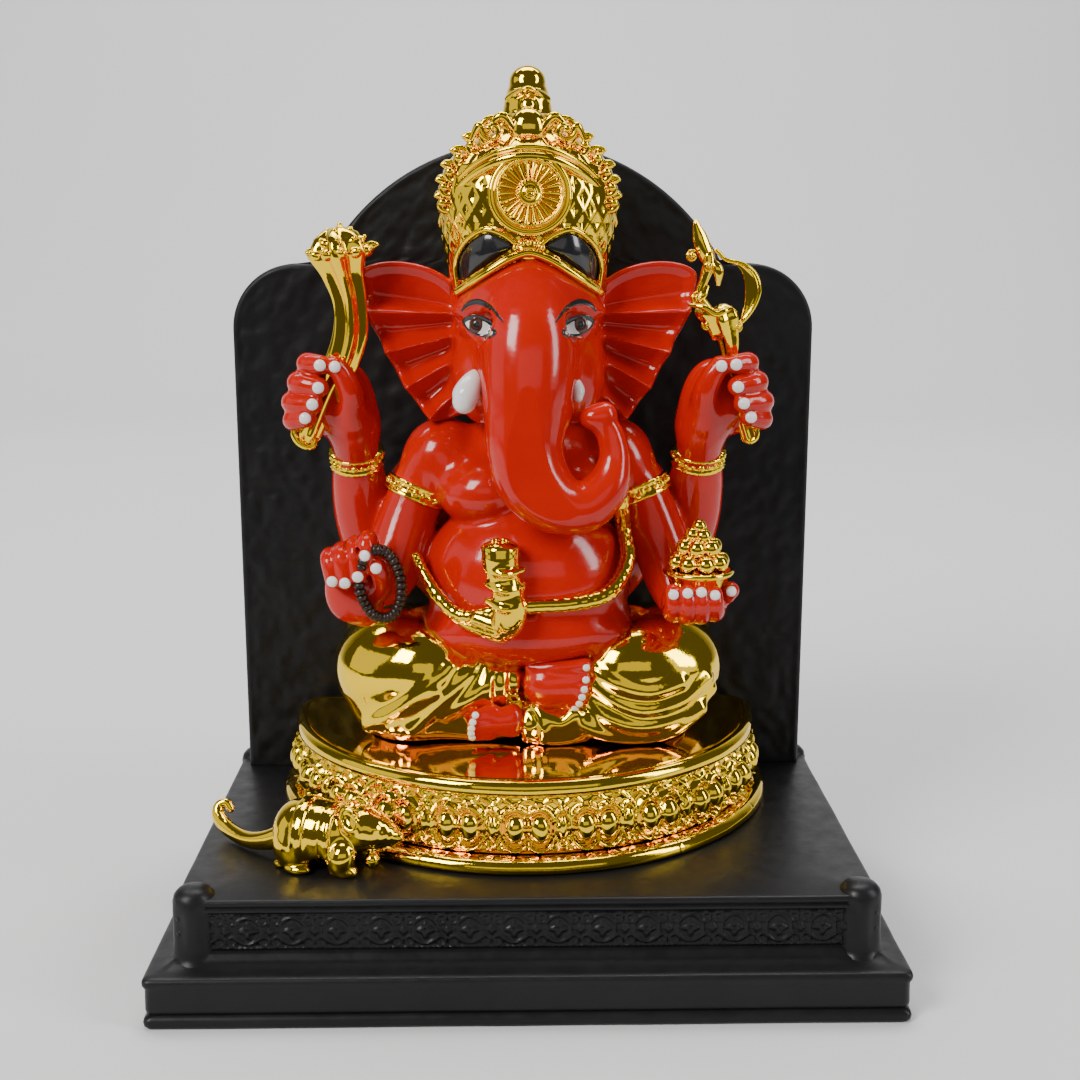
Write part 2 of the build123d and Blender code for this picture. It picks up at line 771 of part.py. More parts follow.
def boxes_meet(a, b):
    apart_x = a.min.X > b.max.X or b.min.X > a.max.X
    apart_y = a.min.Y > b.max.Y or b.min.Y > a.max.Y
    apart_z = a.min.Z > b.max.Z or b.min.Z > a.max.Z
    return not (apart_x or apart_y or apart_z)


def bedded(pieces, fixed):
    """Trim each piece, in order, against the fixed shapes and the pieces placed before it."""
    placed = {}
    near = [(shape, shape.bounding_box()) for shape in fixed]
    for name, shapes in pieces.items():
        solids = []
        for shape in shapes:
            box = shape.bounding_box()
            meets = [other for other, other_box in near if boxes_meet(box, other_box)]
            solids.append(trimmed(shape, *meets))
        near += [(solid, solid.bounding_box()) for solid in solids]
        placed[name] = grouped([Pos(figure_x, 0, 0) * solid for solid in solids])
    return placed


def figure_nodes():
    pieces = {
        "neck_dowel": [neck_dowel()],
        "left_foot": [left_foot()],
        "right_foot": [right_foot()],
        "left_leg": [leg()],
        "right_leg": [mirrored(leg())],
        "front_pleats": [front_pleats()],
        "hip_cloth": [hip_cloth()],
        "torso": [torso()],
        "head": [head()],
        "trunk": [trunk()],
        "left_tusk": [left_tusk()],
        "right_tusk": [right_tusk()],
        "left_ear": [left_ear()],
        "right_ear": [mirrored(left_ear())],
        "snake_hood": [snake_hood()],
        "thread_snake": [thread_snake()],
        "axe_shaft": [axe_shaft()],
        "axe_head": [axe_head()],
        "flower_stem": [flower_stem()],
        "sweet_bowl": [sweet_bowl()],
        "sweets": sweets(),
        "upper_left_hand": [fist(-1)],
        "upper_right_hand": [fist(1)],
        "lower_left_hand": [lower_left_hand()],
        "lower_right_hand": [lower_right_hand()],
        "lower_left_arm": [lower_left_arm()],
        "lower_right_arm": [lower_right_arm()],
        "upper_left_arm": [upper_left_arm()],
        "upper_right_arm": [mirrored(upper_left_arm())],
        "bracelets": bracelets(),
        "armlets": armlets(),
        "rosary": rosary(),
        "brow_band": [brow_band()],
        "crown_insets": crown_insets(),
        "crown_body": [crown_body()],
        "crown_rosette": [crown_rosette()],
        "crown_crest": [crown_crest()],
        "crown_finial": [crown_finial()],
    }
    top_surface = Pos(0, 0, seat - 10) * Box(200, 200, 20)
    return bedded(pieces, [top_surface] + figure_dowels())


def build():
    nodes = stand_nodes()
    nodes.update(mouse_nodes(nodes["pedestal_foot_rim"], nodes["pedestal_lotus_panels"]))
    nodes.update(figure_nodes())
    return nodes


os.makedirs("parts", exist_ok=True)
for node_name, node_shape in build().items():
    export_step(node_shape, f"parts/{node_name}.step")
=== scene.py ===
"""Looks of the seated figure on its gold pedestal, black plinth and arched backdrop.

Shapes are worked out in millimetres in the frame's axes and become metres in piece().
The figure's own shapes are measured from its centre line, which shift() puts back in place.
"""

import json
import math

import bmesh
import bpy
import numpy as np
from mathutils import Euler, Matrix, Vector
from mathutils.bvhtree import BVHTree

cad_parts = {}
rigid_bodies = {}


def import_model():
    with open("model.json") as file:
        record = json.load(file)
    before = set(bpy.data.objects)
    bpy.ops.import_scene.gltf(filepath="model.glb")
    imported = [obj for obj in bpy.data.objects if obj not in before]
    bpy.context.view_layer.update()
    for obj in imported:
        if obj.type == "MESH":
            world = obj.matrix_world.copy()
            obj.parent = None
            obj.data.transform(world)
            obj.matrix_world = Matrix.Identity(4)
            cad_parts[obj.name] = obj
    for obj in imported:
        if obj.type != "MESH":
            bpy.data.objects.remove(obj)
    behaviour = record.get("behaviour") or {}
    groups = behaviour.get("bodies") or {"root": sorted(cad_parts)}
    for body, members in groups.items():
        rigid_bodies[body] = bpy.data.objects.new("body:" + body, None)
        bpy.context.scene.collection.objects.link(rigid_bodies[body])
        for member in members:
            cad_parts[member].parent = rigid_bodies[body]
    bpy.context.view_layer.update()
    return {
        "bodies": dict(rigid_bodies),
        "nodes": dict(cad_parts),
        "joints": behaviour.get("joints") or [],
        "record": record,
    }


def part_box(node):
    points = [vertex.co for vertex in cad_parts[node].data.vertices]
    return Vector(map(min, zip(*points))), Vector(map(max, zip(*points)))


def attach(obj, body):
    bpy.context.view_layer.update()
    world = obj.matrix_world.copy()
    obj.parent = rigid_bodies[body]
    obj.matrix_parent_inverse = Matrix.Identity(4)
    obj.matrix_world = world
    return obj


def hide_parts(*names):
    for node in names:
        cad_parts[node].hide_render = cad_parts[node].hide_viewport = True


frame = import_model()


# ---- places taken from the frame, in millimetres ----
MM = 1000                                   # millimetres in a metre
FAR = 9.0                                   # a field value well clear of any surface


def box(node):
    low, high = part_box(node)
    return np.array(low) * MM, np.array(high) * MM


def middle(node):
    low, high = box(node)
    return (low + high) / 2


centre_x = middle("neck_dowel")[0]          # the figure's centre line
seat_z = box("pedestal_top")[1][2]          # the surface the figure sits on
plinth_high = box("plinth")[1]
panel_low, panel_high = box("backdrop_panel")
foot_high = box("pedestal_foot_rim")[1]
top_z = box("crown_finial")[1][2]


# ---- lines and grids of points ----
def curve(points, count, closed=False):
    """A smooth line through the points. Extra columns, such as a radius, change along it as smoothly."""
    p = np.array(points, float)
    n = len(p)
    if closed:
        p = np.vstack([p[-1:], p, p[:2]])
        t = np.linspace(0, n, count, endpoint=False)
    else:
        p = np.vstack([2 * p[:1] - p[1:2], p, 2 * p[-1:] - p[-2:-1]])
        t = np.linspace(0, n - 1, count)
    i = np.minimum(t.astype(int), len(p) - 4)
    s = (t - i)[:, None]
    a, b, c, d = p[i], p[i + 1], p[i + 2], p[i + 3]
    return 0.5 * (2 * b + (c - a) * s + (2 * a - 5 * b + 4 * c - d) * s**2 + (3 * b - a - 3 * c + d) * s**3)


def smooth(low, high, value):
    t = np.clip((value - low) / (high - low), 0, 1)
    return t * t * (3 - 2 * t)


def unit(vectors):
    vectors = np.asarray(vectors, float)
    return vectors / (np.linalg.norm(vectors, axis=-1, keepdims=True) + 1e-12)


def distances(points):
    """How far along the line of points each one lies."""
    return np.hstack([0, np.cumsum(np.linalg.norm(np.diff(points, axis=0), axis=1))])


def at_height(flat, height):
    """Points (x, y) at one height, or each at its own."""
    return np.column_stack([flat, np.broadcast_to(height, len(flat))])


def loop_of(points, count, radius):
    """A closed path for a tube of one radius."""
    return np.hstack([curve(points, count, closed=True), np.full((count, 1), radius)])


def ridge(value, at, width):
    """A soft ridge, 1 high where value equals at."""
    return np.exp(-(((value - at) / width) ** 2))


def frame_of(direction):
    """Two directions square to the given one."""
    d = unit(direction)
    helper = np.array((0.0, 0, 1)) if abs(d[2]) < 0.9 else np.array((1.0, 0, 0))
    side = unit(np.cross(helper, d))
    return side, np.cross(d, side)


class Shape:
    """Points in millimetres and the faces between them, added to bit by bit."""

    def __init__(self):
        self.points, self.faces, self.count = [], [], 0

    def add(self, points, faces):
        points = np.asarray(points, float).reshape(-1, 3)
        self.faces.extend((np.asarray(faces) + self.count).tolist())
        self.points.append(points)
        self.count += len(points)
        return self

    def skin(self, rows, round_rows=True, ends=True):
        """Faces over rows of points. Each row may close on itself, and the first and last rows are capped."""
        rows = np.asarray(rows, float)
        n, m = rows.shape[:2]
        at = np.arange(n * m).reshape(n, m)
        start = self.count
        if round_rows:
            at = np.hstack([at, at[:, :1]])
        quads = np.stack([at[:-1, :-1], at[:-1, 1:], at[1:, 1:], at[1:, :-1]], -1)
        self.add(rows, quads.reshape(-1, 4))
        if ends:
            self.faces.append([start + k for k in range(m)][::-1])
            self.faces.append([start + (n - 1) * m + k for k in range(m)])
        return self

    def tube(self, path, sides=14, closed=False, up=(0, 1, 0), flat=1.0, twist=0.0, lobes=0, depth=0.0):
        """A bar along path, whose rows are x, y, z and radius, domed where it ends.

        flat squeezes it along up; lobes flutes it to a share depth of its radius.
        """
        path = np.asarray(path, float)
        xyz, radius = path[:, :3], path[:, 3]
        ahead = np.roll(xyz, -1, 0) - np.roll(xyz, 1, 0) if closed else np.gradient(xyz, axis=0)
        ahead = unit(ahead)
        if not closed:
            lean = np.radians((84, 66, 44, 22))
            head = [xyz[0] - ahead[0] * radius[0] * math.sin(a) for a in lean]
            tail = [xyz[-1] + ahead[-1] * radius[-1] * math.sin(a) for a in lean[::-1]]
            xyz = np.vstack([head, xyz, tail])
            radius = np.hstack([radius[0] * np.cos(lean), radius, radius[-1] * np.cos(lean[::-1])])
            ahead = np.vstack([[ahead[0]] * 4, ahead, [ahead[-1]] * 4])
        side = unit(np.cross(ahead, np.array(up, float)))
        over = np.cross(side, ahead)
        turn = np.arange(sides) * 2 * math.pi / sides
        angle = turn[None, :] + twist * distances(xyz)[:, None]
        reach = radius[:, None] * (1 + depth * np.cos(lobes * turn)[None, :])
        rows = xyz[:, None, :] + (reach * np.cos(angle))[..., None] * side[:, None, :]
        rows = rows + (flat * reach * np.sin(angle))[..., None] * over[:, None, :]
        if closed:
            rows = np.vstack([rows, rows[:1]])
            return self.skin(rows, ends=False)
        return self.skin(rows)

    def turned(self, profile, centre, axis=(0, 0, 1), sides=24, relief=None):
        """A turned piece. profile holds (radius, height); relief(angle, row) adds to the radius."""
        side, over = frame_of(axis)
        angle = np.arange(sides) * 2 * math.pi / sides
        profile = np.asarray(profile, float)
        radius = np.repeat(profile[:, :1], sides, 1)
        if relief is not None:
            radius = radius + relief(angle[None, :], np.arange(len(profile))[:, None])
        rows = np.array(centre, float) + radius[..., None] * (
            np.cos(angle)[None, :, None] * side + np.sin(angle)[None, :, None] * over
        )
        return self.skin(rows + profile[:, 1][:, None, None] * unit(axis))

    def dome(self, centre, axis, radius, rise, sides=16):
        """A low button standing on a surface, sunk a little so that no gap shows."""
        lean = np.radians((0, 20, 42, 64, 84))
        profile = [(radius * 0.9, -rise)] + [(radius * math.cos(a), rise * math.sin(a)) for a in lean]
        return self.turned(profile, centre, axis, sides)

    def ball(self, centre, radii, sides=18, axis=(0, 0, 1)):
        lean = np.radians(np.linspace(-86, 86, 11))
        wide, high = radii
        return self.turned([(wide * math.cos(a), high * math.sin(a)) for a in lean], centre, axis, sides)


def shift(shape):
    """From the figure's centre line to the frame's x."""
    shape.points = [points + np.array((centre_x, 0, 0)) for points in shape.points]
    return shape


def sided(side, points):
    """Points given for the figure's right, where x is positive, on side 1 or mirrored on side -1."""
    return [(side * x, *rest) for x, *rest in points]


def piece(name, shape, surface, nodes=(), sharp=None, weights=None):
    """A finished object: metres, outward faces, its material, and the CAD nodes it stands for."""
    mesh = bpy.data.meshes.new(name)
    points = np.vstack(shape.points)
    mesh.from_pydata((points / MM).tolist(), [], shape.faces)
    work = bmesh.new()
    work.from_mesh(mesh)
    bmesh.ops.recalc_face_normals(work, faces=work.faces)
    work.to_mesh(mesh)
    work.free()
    mesh.shade_smooth()
    if sharp:
        mesh.set_sharp_from_angle(angle=math.radians(sharp))
    if weights is not None:
        attribute = mesh.attributes.new("paint", "FLOAT", "POINT")
        attribute.data.foreach_set("value", np.asarray(weights, np.float32))
    mesh.materials.append(surface)
    obj = bpy.data.objects.new(name, mesh)
    bpy.context.scene.collection.objects.link(obj)
    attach(obj, "root")
    if nodes:
        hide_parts(*nodes)
    return obj


# ---- clay: rounded bodies made by pressing lumps together ----
def egg(centre, radii, turn=(0, 0, 0)):
    c, r = np.array(centre, float), np.array(radii, float)
    m = np.array(Euler([math.radians(a) for a in turn]).to_matrix())

    def distance(x, y, z):
        d = (x - c[0], y - c[1], z - c[2])
        local = [m[0][i] * d[0] + m[1][i] * d[1] + m[2][i] * d[2] for i in range(3)]
        near = np.sqrt(sum((p / s) ** 2 for p, s in zip(local, r)))
        slope = np.sqrt(sum((p / s**2) ** 2 for p, s in zip(local, r))) + 1e-6
        return near * (near - 1) / slope

    reach = r if turn == (0, 0, 0) else np.full(3, r.max())
    return distance, c - reach, c + reach


def rope(points, spacing=1.0, flat=1.0):
    """A rounded bar along points whose rows are x, y, z, radius. flat below 1 makes it shallow in y."""
    points = np.array(points, float)
    length = np.linalg.norm(np.diff(points[:, :3], axis=0), axis=1).sum()
    path = curve(points, max(3, int(length / spacing)))
    path[:, 1] /= flat

    def distance(x, y, z):
        axes = [x.ravel(), y.ravel() / flat, z.ravel()]
        near = np.full([len(a) for a in axes], FAR, np.float32)
        for a, b in zip(path[:-1], path[1:]):
            reach = max(a[3], b[3]) + 6
            ends = [(min(p, q) - reach, max(p, q) + reach) for p, q in zip(a[:3], b[:3])]
            spans = [np.searchsorted(axis, end) for axis, end in zip(axes, ends)]
            if any(s[0] >= s[1] for s in spans):
                continue
            i, j, k = (slice(*s) for s in spans)
            dx = axes[0][i, None, None] - a[0]
            dy = axes[1][None, j, None] - a[1]
            dz = axes[2][None, None, k] - a[2]
            e = b[:3] - a[:3]
            t = np.clip((dx * e[0] + dy * e[1] + dz * e[2]) / (e @ e + 1e-9), 0, 1)
            away = np.sqrt((dx - t * e[0]) ** 2 + (dy - t * e[1]) ** 2 + (dz - t * e[2]) ** 2)
            near[i, j, k] = np.minimum(near[i, j, k], away - (a[3] + t * (b[3] - a[3])))
        return near * min(1.0, flat * 1.3)

    reach = path[:, 3:].max()
    low, high = path[:, :3].min(0) - reach, path[:, :3].max(0) + reach
    low[1], high[1] = low[1] * flat, high[1] * flat
    return distance, low, high


class Clay:
    """A body on an even lattice of distances, which are negative inside it. press() adds or cuts a lump."""

    def __init__(self, low, high, step):
        self.step = step
        counts = np.ceil((np.array(high, float) - low) / step).astype(int) + 1
        self.axes = [low[i] + step * np.arange(counts[i]) for i in range(3)]
        self.field = np.full(counts, FAR, np.float32)
        self.made = self.tree = None

    def press(self, lump, blend=0.0, cut=False):
        distance, low, high = lump
        margin = blend + 4
        spans = []
        for axis, a, b in zip(self.axes, low, high):
            spans.append(slice(*np.searchsorted(axis, (a - margin, b + margin))))
        x, y, z = (axis[s] for axis, s in zip(self.axes, spans))
        if min(len(x), len(y), len(z)) == 0:
            return self
        here = self.field[tuple(spans)]
        there = distance(x[:, None, None], y[None, :, None], z[None, None, :])
        if cut:
            here = -here
        merged = np.minimum(here, there)
        if blend > 0:
            close = np.maximum(blend - np.abs(here - there), 0) / blend
            merged = merged - close * close * blend / 4
        self.field[tuple(spans)] = -merged if cut else merged
        return self

    def keep(self, rule):
        """Only what lies where rule(x, y, z) is negative."""
        x, y, z = self.axes
        limit = rule(x[:, None, None], y[None, :, None], z[None, None, :])
        self.field = np.maximum(self.field, limit).astype(np.float32)
        return self

    def keep_above(self, level):
        return self.keep(lambda x, y, z: level - z)

    def front(self, x, z, depth=0.0):
        """The y of the body's front skin at (x, z), and so much deeper."""
        if self.made is not None:
            if self.tree is None:
                self.tree = BVHTree.FromPolygons(*self.made)
            hit = self.tree.ray_cast(Vector((x, -80.0, z)), Vector((0, 1, 0)))[0]
            return (0.0 if hit is None else hit.y) + depth
        i, k = (int(round((v - self.axes[n][0]) / self.step)) for n, v in ((0, x), (2, z)))
        line = self.field[min(max(i, 0), self.field.shape[0] - 1), :, min(max(k, 0), self.field.shape[2] - 1)]
        inside = np.nonzero(line < 0)[0]
        return (self.axes[1][inside[0]] if len(inside) else 0.0) + depth

    def skin(self, passes=6):
        """The body's surface as a Shape: one point in each lattice cell that the surface crosses."""
        f = np.pad(self.field, 1, constant_values=FAR)
        solid = f < 0
        low = np.array([a[0] for a in self.axes]) - self.step
        corners = [(i, j, k) for i in (0, 1) for j in (0, 1) for k in (0, 1)]
        nx, ny, nz = (n - 1 for n in f.shape)
        total = np.zeros((nx, ny, nz), np.int8)
        for i, j, k in corners:
            total += solid[i : i + nx, j : j + ny, k : k + nz]
        cells = np.argwhere((total > 0) & (total < 8))
        number = np.full((nx, ny, nz), -1, np.int64)
        number[tuple(cells.T)] = np.arange(len(cells))
        value = {c: f[tuple((cells + c).T)] for c in corners}
        where, hits = np.zeros((len(cells), 3)), np.zeros(len(cells))
        for a in corners:
            for axis in range(3):
                if a[axis]:
                    continue
                b = tuple(1 if n == axis else a[n] for n in range(3))
                crossed = (value[a] < 0) != (value[b] < 0)
                t = np.where(crossed, value[a] / np.where(crossed, value[a] - value[b], 1), 0)
                spot = np.array(a, float)[None, :] + t[:, None] * np.eye(3)[axis]
                where += spot * crossed[:, None]
                hits += crossed
        points = low + self.step * (cells + where / hits[:, None])
        faces = []
        for axis in range(3):
            u, v = (axis + 1) % 3, (axis + 2) % 3
            ahead = np.roll(solid, -1, axis)
            edge = np.argwhere(solid != ahead)
            edge = edge[(edge[:, axis] < f.shape[axis] - 1) & (edge[:, u] > 0) & (edge[:, v] > 0)]
            outward = solid[tuple(edge.T)]
            ring = []
            for du, dv in ((0, 0), (1, 0), (1, 1), (0, 1)):
                cell = edge.copy()
                cell[:, u] -= du
                cell[:, v] -= dv
                ring.append(number[tuple(cell.T)])
            quad = np.stack(ring, -1)
            quad[outward] = quad[outward][:, ::-1]
            faces.append(quad)
        faces = np.vstack(faces)
        points = relaxed(points, faces, passes)
        self.made = (points.tolist(), faces.tolist())
        return Shape().add(points, faces)


def relaxed(points, faces, passes):
    """Irons out the lattice's steps without shrinking the body."""
    edges = np.vstack([faces[:, [0, 1]], faces[:, [1, 2]], faces[:, [2, 3]], faces[:, [3, 0]]])
    a, b = edges[:, 0], edges[:, 1]
    count = np.bincount(a, minlength=len(points)) + np.bincount(b, minlength=len(points))
    for _ in range(passes):
        for amount in (0.5, -0.53):
            mean = np.empty_like(points)
            for axis in range(3):
                total = np.bincount(a, points[b, axis], len(points))
                total += np.bincount(b, points[a, axis], len(points))
                mean[:, axis] = total / count
            points = points + amount * (mean - points)
    return points


# ---- materials ----
# ORANGE goes into the gold's grooves, as painted shade and as pooled lacquer.
DEEP_YELLOW, YELLOW, ORANGE = (1.0, 0.63, 0.008), (1.0, 0.69, 0.016), (0.95, 0.40, 0.006)
OVERSPRAY = (0.62, 0.03, 0.008)
# The second red is the thinner coat, and also the painted highlight on edges.
VERMILION, LIT_AND_THIN_VERMILION = (0.44, 0.0045, 0.0015), (0.54, 0.012, 0.003)
FINE, GRAIN = 0.000004, 0.00003             # heights of the finest bumps and of orange peel, in metres


class Paint:
    """A material under construction: one Principled shader and the nodes that feed it."""

    def __init__(self, name, **settings):
        self.material = bpy.data.materials.new(name)
        self.material.use_nodes = True
        self.tree = self.material.node_tree
        self.shader = self.tree.nodes["Principled BSDF"]
        for socket, value in settings.items():
            self.shader.inputs[socket.replace("_", " ")].default_value = value
        self.place = self.tree.nodes.new("ShaderNodeTexCoord").outputs["Object"]

    def noise(self, scale, detail=4.0, roughness=0.6, distortion=0.0):
        node = self.tree.nodes.new("ShaderNodeTexNoise")
        node.inputs["Scale"].default_value = scale
        node.inputs["Detail"].default_value = detail
        node.inputs["Roughness"].default_value = roughness
        node.inputs["Distortion"].default_value = distortion
        self.tree.links.new(self.place, node.inputs["Vector"])
        return node.outputs["Fac"]

    def wear_and_shade(self):
        """Low in grooves, high on edges: it places rubbed edges, painted shade in grooves and painted
        highlight on edges.
        """
        return self.tree.nodes.new("ShaderNodeNewGeometry").outputs["Pointiness"]

    def painted(self):
        node = self.tree.nodes.new("ShaderNodeAttribute")
        node.attribute_name = "paint"
        return node.outputs["Fac"]

    def ranged(self, value, low, high, to_low, to_high):
        node = self.tree.nodes.new("ShaderNodeMapRange")
        for socket, number in zip(("From Min", "From Max", "To Min", "To Max"), (low, high, to_low, to_high)):
            node.inputs[socket].default_value = number
        self.tree.links.new(value, node.inputs["Value"])
        return node.outputs["Result"]

    def mixed(self, factor, a, b):
        """A colour between two, each a colour or another node's output."""
        node = self.tree.nodes.new("ShaderNodeMix")
        node.data_type = "RGBA"
        self.tree.links.new(factor, node.inputs[0])
        for socket, colour in ((6, a), (7, b)):
            if isinstance(colour, tuple):
                node.inputs[socket].default_value = (*colour, 1)
            else:
                self.tree.links.new(colour, node.inputs[socket])
        return node.outputs[2]

    def between(self, factor, a, b):
        """A number between two, each a node's output or a number."""
        node = self.tree.nodes.new("ShaderNodeMix")
        self.tree.links.new(factor, node.inputs[0])
        for socket, number in ((2, a), (3, b)):
            if isinstance(number, float):
                node.inputs[socket].default_value = number
            else:
                self.tree.links.new(number, node.inputs[socket])
        return node.outputs[0]

    def feed(self, socket, value):
        self.tree.links.new(value, self.shader.inputs[socket])
        return self

    def bumped(self, *layers):
        """Each layer is a height and how tall it is in metres."""
        before = None
        for height, tall in layers:
            node = self.tree.nodes.new("ShaderNodeBump")
            node.inputs["Distance"].default_value = tall
            self.tree.links.new(height, node.inputs["Height"])
            if before is not None:
                self.tree.links.new(before, node.inputs["Normal"])
            before = node.outputs["Normal"]
        self.tree.links.new(before, self.shader.inputs["Normal"])
        return self


def gold(name="mirror_gold", painted=False, groove_strength=1.0):
    """Vacuum plating: a clear mirror, more orange in its grooves, where the orange is lacquer pooled there
    and also painted shade, the deeper colour of light bounced inside them.
    """
    paint = Paint(name, Metallic=1.0)
    groove_shade_and_lacquer = paint.ranged(paint.wear_and_shade(), 0.36, 0.482, groove_strength, 0.0)
    tone = paint.mixed(paint.noise(60), DEEP_YELLOW, YELLOW)
    # Painted shade: the grooves take ORANGE for light bounced inside them, along with pooled lacquer.
    tone = paint.mixed(groove_shade_and_lacquer, tone, ORANGE)
    rough = paint.ranged(paint.noise(900, 3), 0.3, 0.75, 0.035, 0.10)
    if painted:
        edge = paint.ranged(paint.painted(), 0.25, 0.75, 0.0, 1.0)
        tone = paint.mixed(edge, tone, OVERSPRAY)
        rough = paint.between(edge, rough, 0.12)
        paint.feed("Metallic", paint.ranged(edge, 0.0, 1.0, 1.0, 0.0))
    paint.feed("Base Color", tone).feed("Roughness", rough)
    return paint.bumped((paint.noise(420, 2), GRAIN), (paint.noise(2600, 2), FINE)).material


def enamel(name, colour, thin, rough=0.1, coat=0.6):
    """Sprayed enamel: slightly uneven in thickness, with a faint orange peel and specks of dust. Its edges
    are painted lighter, a painted highlight that leaves the hollows darker.
    """
    paint = Paint(name, Coat_Weight=coat, Coat_Roughness=0.04, Specular_IOR_Level=0.36)
    tone = paint.mixed(paint.noise(90, 3), colour, thin)
    # Painted highlight: pointed edges take the lighter colour, leaving the hollows darker as painted shade.
    tone = paint.mixed(paint.ranged(paint.wear_and_shade(), 0.52, 0.62, 0.0, 0.6), tone, thin)
    paint.feed("Base Color", tone)
    paint.feed("Roughness", paint.ranged(paint.noise(700, 4), 0.3, 0.8, rough, rough + 0.12))
    return paint.bumped((paint.noise(260, 2), GRAIN), (paint.noise(1900, 3), 0.000005)).material


def lacquer(name, colour, rough, lump, fine):
    """Satin black over cast resin, with casting unevenness and rubbed edges."""
    paint = Paint(name, Specular_IOR_Level=0.22)
    lighter = tuple(c * 1.8 + 0.004 for c in colour)
    rubbed = tuple(c * 2.6 + 0.012 for c in colour)
    tone = paint.mixed(paint.noise(45, 5), colour, lighter)
    tone = paint.mixed(paint.ranged(paint.wear_and_shade(), 0.54, 0.68, 0.0, 0.8), tone, rubbed)
    paint.feed("Base Color", tone)
    paint.feed("Roughness", paint.ranged(paint.noise(260, 5), 0.3, 0.75, rough - 0.07, rough + 0.1))
    return paint.bumped((paint.noise(210, 4), lump), (paint.noise(1500, 4), fine)).material


def felted():
    paint = Paint("black_felt", Sheen_Weight=0.4, Sheen_Roughness=0.5)
    paint.feed("Base Color", paint.mixed(paint.noise(1600, 6), (0.012, 0.012, 0.014), (0.05, 0.05, 0.055)))
    paint.feed("Roughness", paint.ranged(paint.noise(500, 3), 0.2, 0.8, 0.85, 1.0))
    return paint.bumped((paint.noise(3200, 5), 0.0002)).material


def fibreboard():
    paint = Paint("fibreboard", IOR=1.45)
    paint.feed("Base Color", paint.mixed(paint.noise(900, 8, 0.8), (0.30, 0.19, 0.10), (0.50, 0.36, 0.22)))
    paint.feed("Roughness", paint.ranged(paint.noise(400, 4), 0.2, 0.8, 0.7, 0.9))
    return paint.bumped((paint.noise(1800, 6), 0.0001)).material


def plain_steel():
    paint = Paint("plain_steel", Metallic=1.0)
    paint.feed("Base Color", paint.mixed(paint.noise(500, 4), (0.42, 0.42, 0.43), (0.62, 0.62, 0.63)))
    paint.feed("Roughness", paint.ranged(paint.noise(1200, 3), 0.2, 0.8, 0.25, 0.45))
    return paint.bumped((paint.noise(2500, 3), 0.00002)).material


GOLD = gold()
CROWN_GOLD = gold("crown_gold", groove_strength=0.4)
GOLD_AND_RED = gold("gold_with_red_overspray", painted=True)
RED = enamel("vermilion_enamel", VERMILION, LIT_AND_THIN_VERMILION, coat=0.1)
WHITE = enamel("white_enamel", (0.86, 0.85, 0.82), (0.74, 0.73, 0.71), rough=0.2)
BLACK = enamel("black_enamel", (0.008, 0.008, 0.010), (0.02, 0.021, 0.024), rough=0.12)
BROWN = enamel("brown_enamel", (0.010, 0.004, 0.003), (0.026, 0.010, 0.006), rough=0.3, coat=0.05)
EYE_BROWN = enamel("iris_brown", (0.050, 0.013, 0.006), (0.085, 0.024, 0.011), rough=0.12)
SATIN_BLACK = lacquer("satin_black_lacquer", (0.0040, 0.0040, 0.0046), 0.38, 0.00006, 0.00001)
PANEL_BLACK = lacquer("hammered_black_lacquer", (0.0036, 0.0037, 0.0042), 0.46, 0.00012, 0.00002)
FELT, BOARD, STEEL = felted(), fibreboard(), plain_steel()


# ---- the crown's bare form, which the head fits into ----
CROWN_Y = 8.0                               # its axis, behind the figure's centre line
CROWN_LOW, CROWN_HIGH = 149.0, 187.0
BROW_PEAK, BROW_SLOPE, BROW_HALF = 159.0, 0.55, 17.6   # the band's line, under which the head shows
ARCH_FOOT, ARCH_RISE, ARCH_HALF = 161.0, 18.4, 19.8    # the raised arch over the crown's front


def crown_radius(height):
    """Half width and half depth of the crown at a height."""
    levels = (CROWN_LOW, 153, 158, 163, 168, 173, 178, 181.5, 184.5, CROWN_HIGH)
    wide = (17.2, 17.9, 18.8, 19.8, 20.4, 20.2, 18.6, 15.4, 11.0, 5.0)
    deep = (15.0, 15.4, 16.0, 16.5, 16.7, 16.3, 15.0, 12.4, 9.0, 4.4)
    return np.interp(height, levels, wide), np.interp(height, levels, deep)


def crown_place(angle, height, out=0.0):
    """A place on the crown; angle 0 is the front, positive to the right."""
    wide, deep = crown_radius(height)
    x, y = (wide + out) * np.sin(angle), CROWN_Y - (deep + out) * np.cos(angle)
    return np.stack(np.broadcast_arrays(x, y, height), -1)


def on_crown(x, z, lift=0.0):
    """The crown's front surface above the brow at x and z."""
    wide, deep = crown_radius(z)
    return CROWN_Y - (deep + lift) * math.sqrt(max(0.02, 1 - min(1, abs(x) / (wide + lift)) ** 2))


# ---- the head: skull, cheeks, trunk and fluted ears in one glossy skin ----
TRUNK = [
    (0, -6.5, 149, 9), (-0.1, -11, 141, 10.4), (-0.3, -13.6, 132.5, 10.2), (-0.7, -15.2, 124, 9.2),
    (-0.9, -16.6, 117, 8.4), (0.8, -17.2, 110.4, 8.2), (5.8, -17.8, 105.4, 6.9), (11.6, -17.6, 104.4, 5.9),
    (16.6, -16.8, 108.2, 4.9), (18.6, -15.8, 114.2, 3.5), (17.9, -15.2, 119.4, 3.1), (16, -15, 122.8, 2.9),
]
EAR_OUTLINE = [
    (13, 146.5), (15.5, 150.8), (21, 154.8), (28, 156.7), (34.5, 156.4), (38.4, 154.2), (38, 150),
    (36.9, 145.4), (35.4, 141.6), (33.6, 138.6), (32, 135), (30.2, 131.6), (28.6, 128.8), (26.2, 125.2),
    (23.6, 121.8), (20.6, 120.2), (16, 122), (12, 127),
]


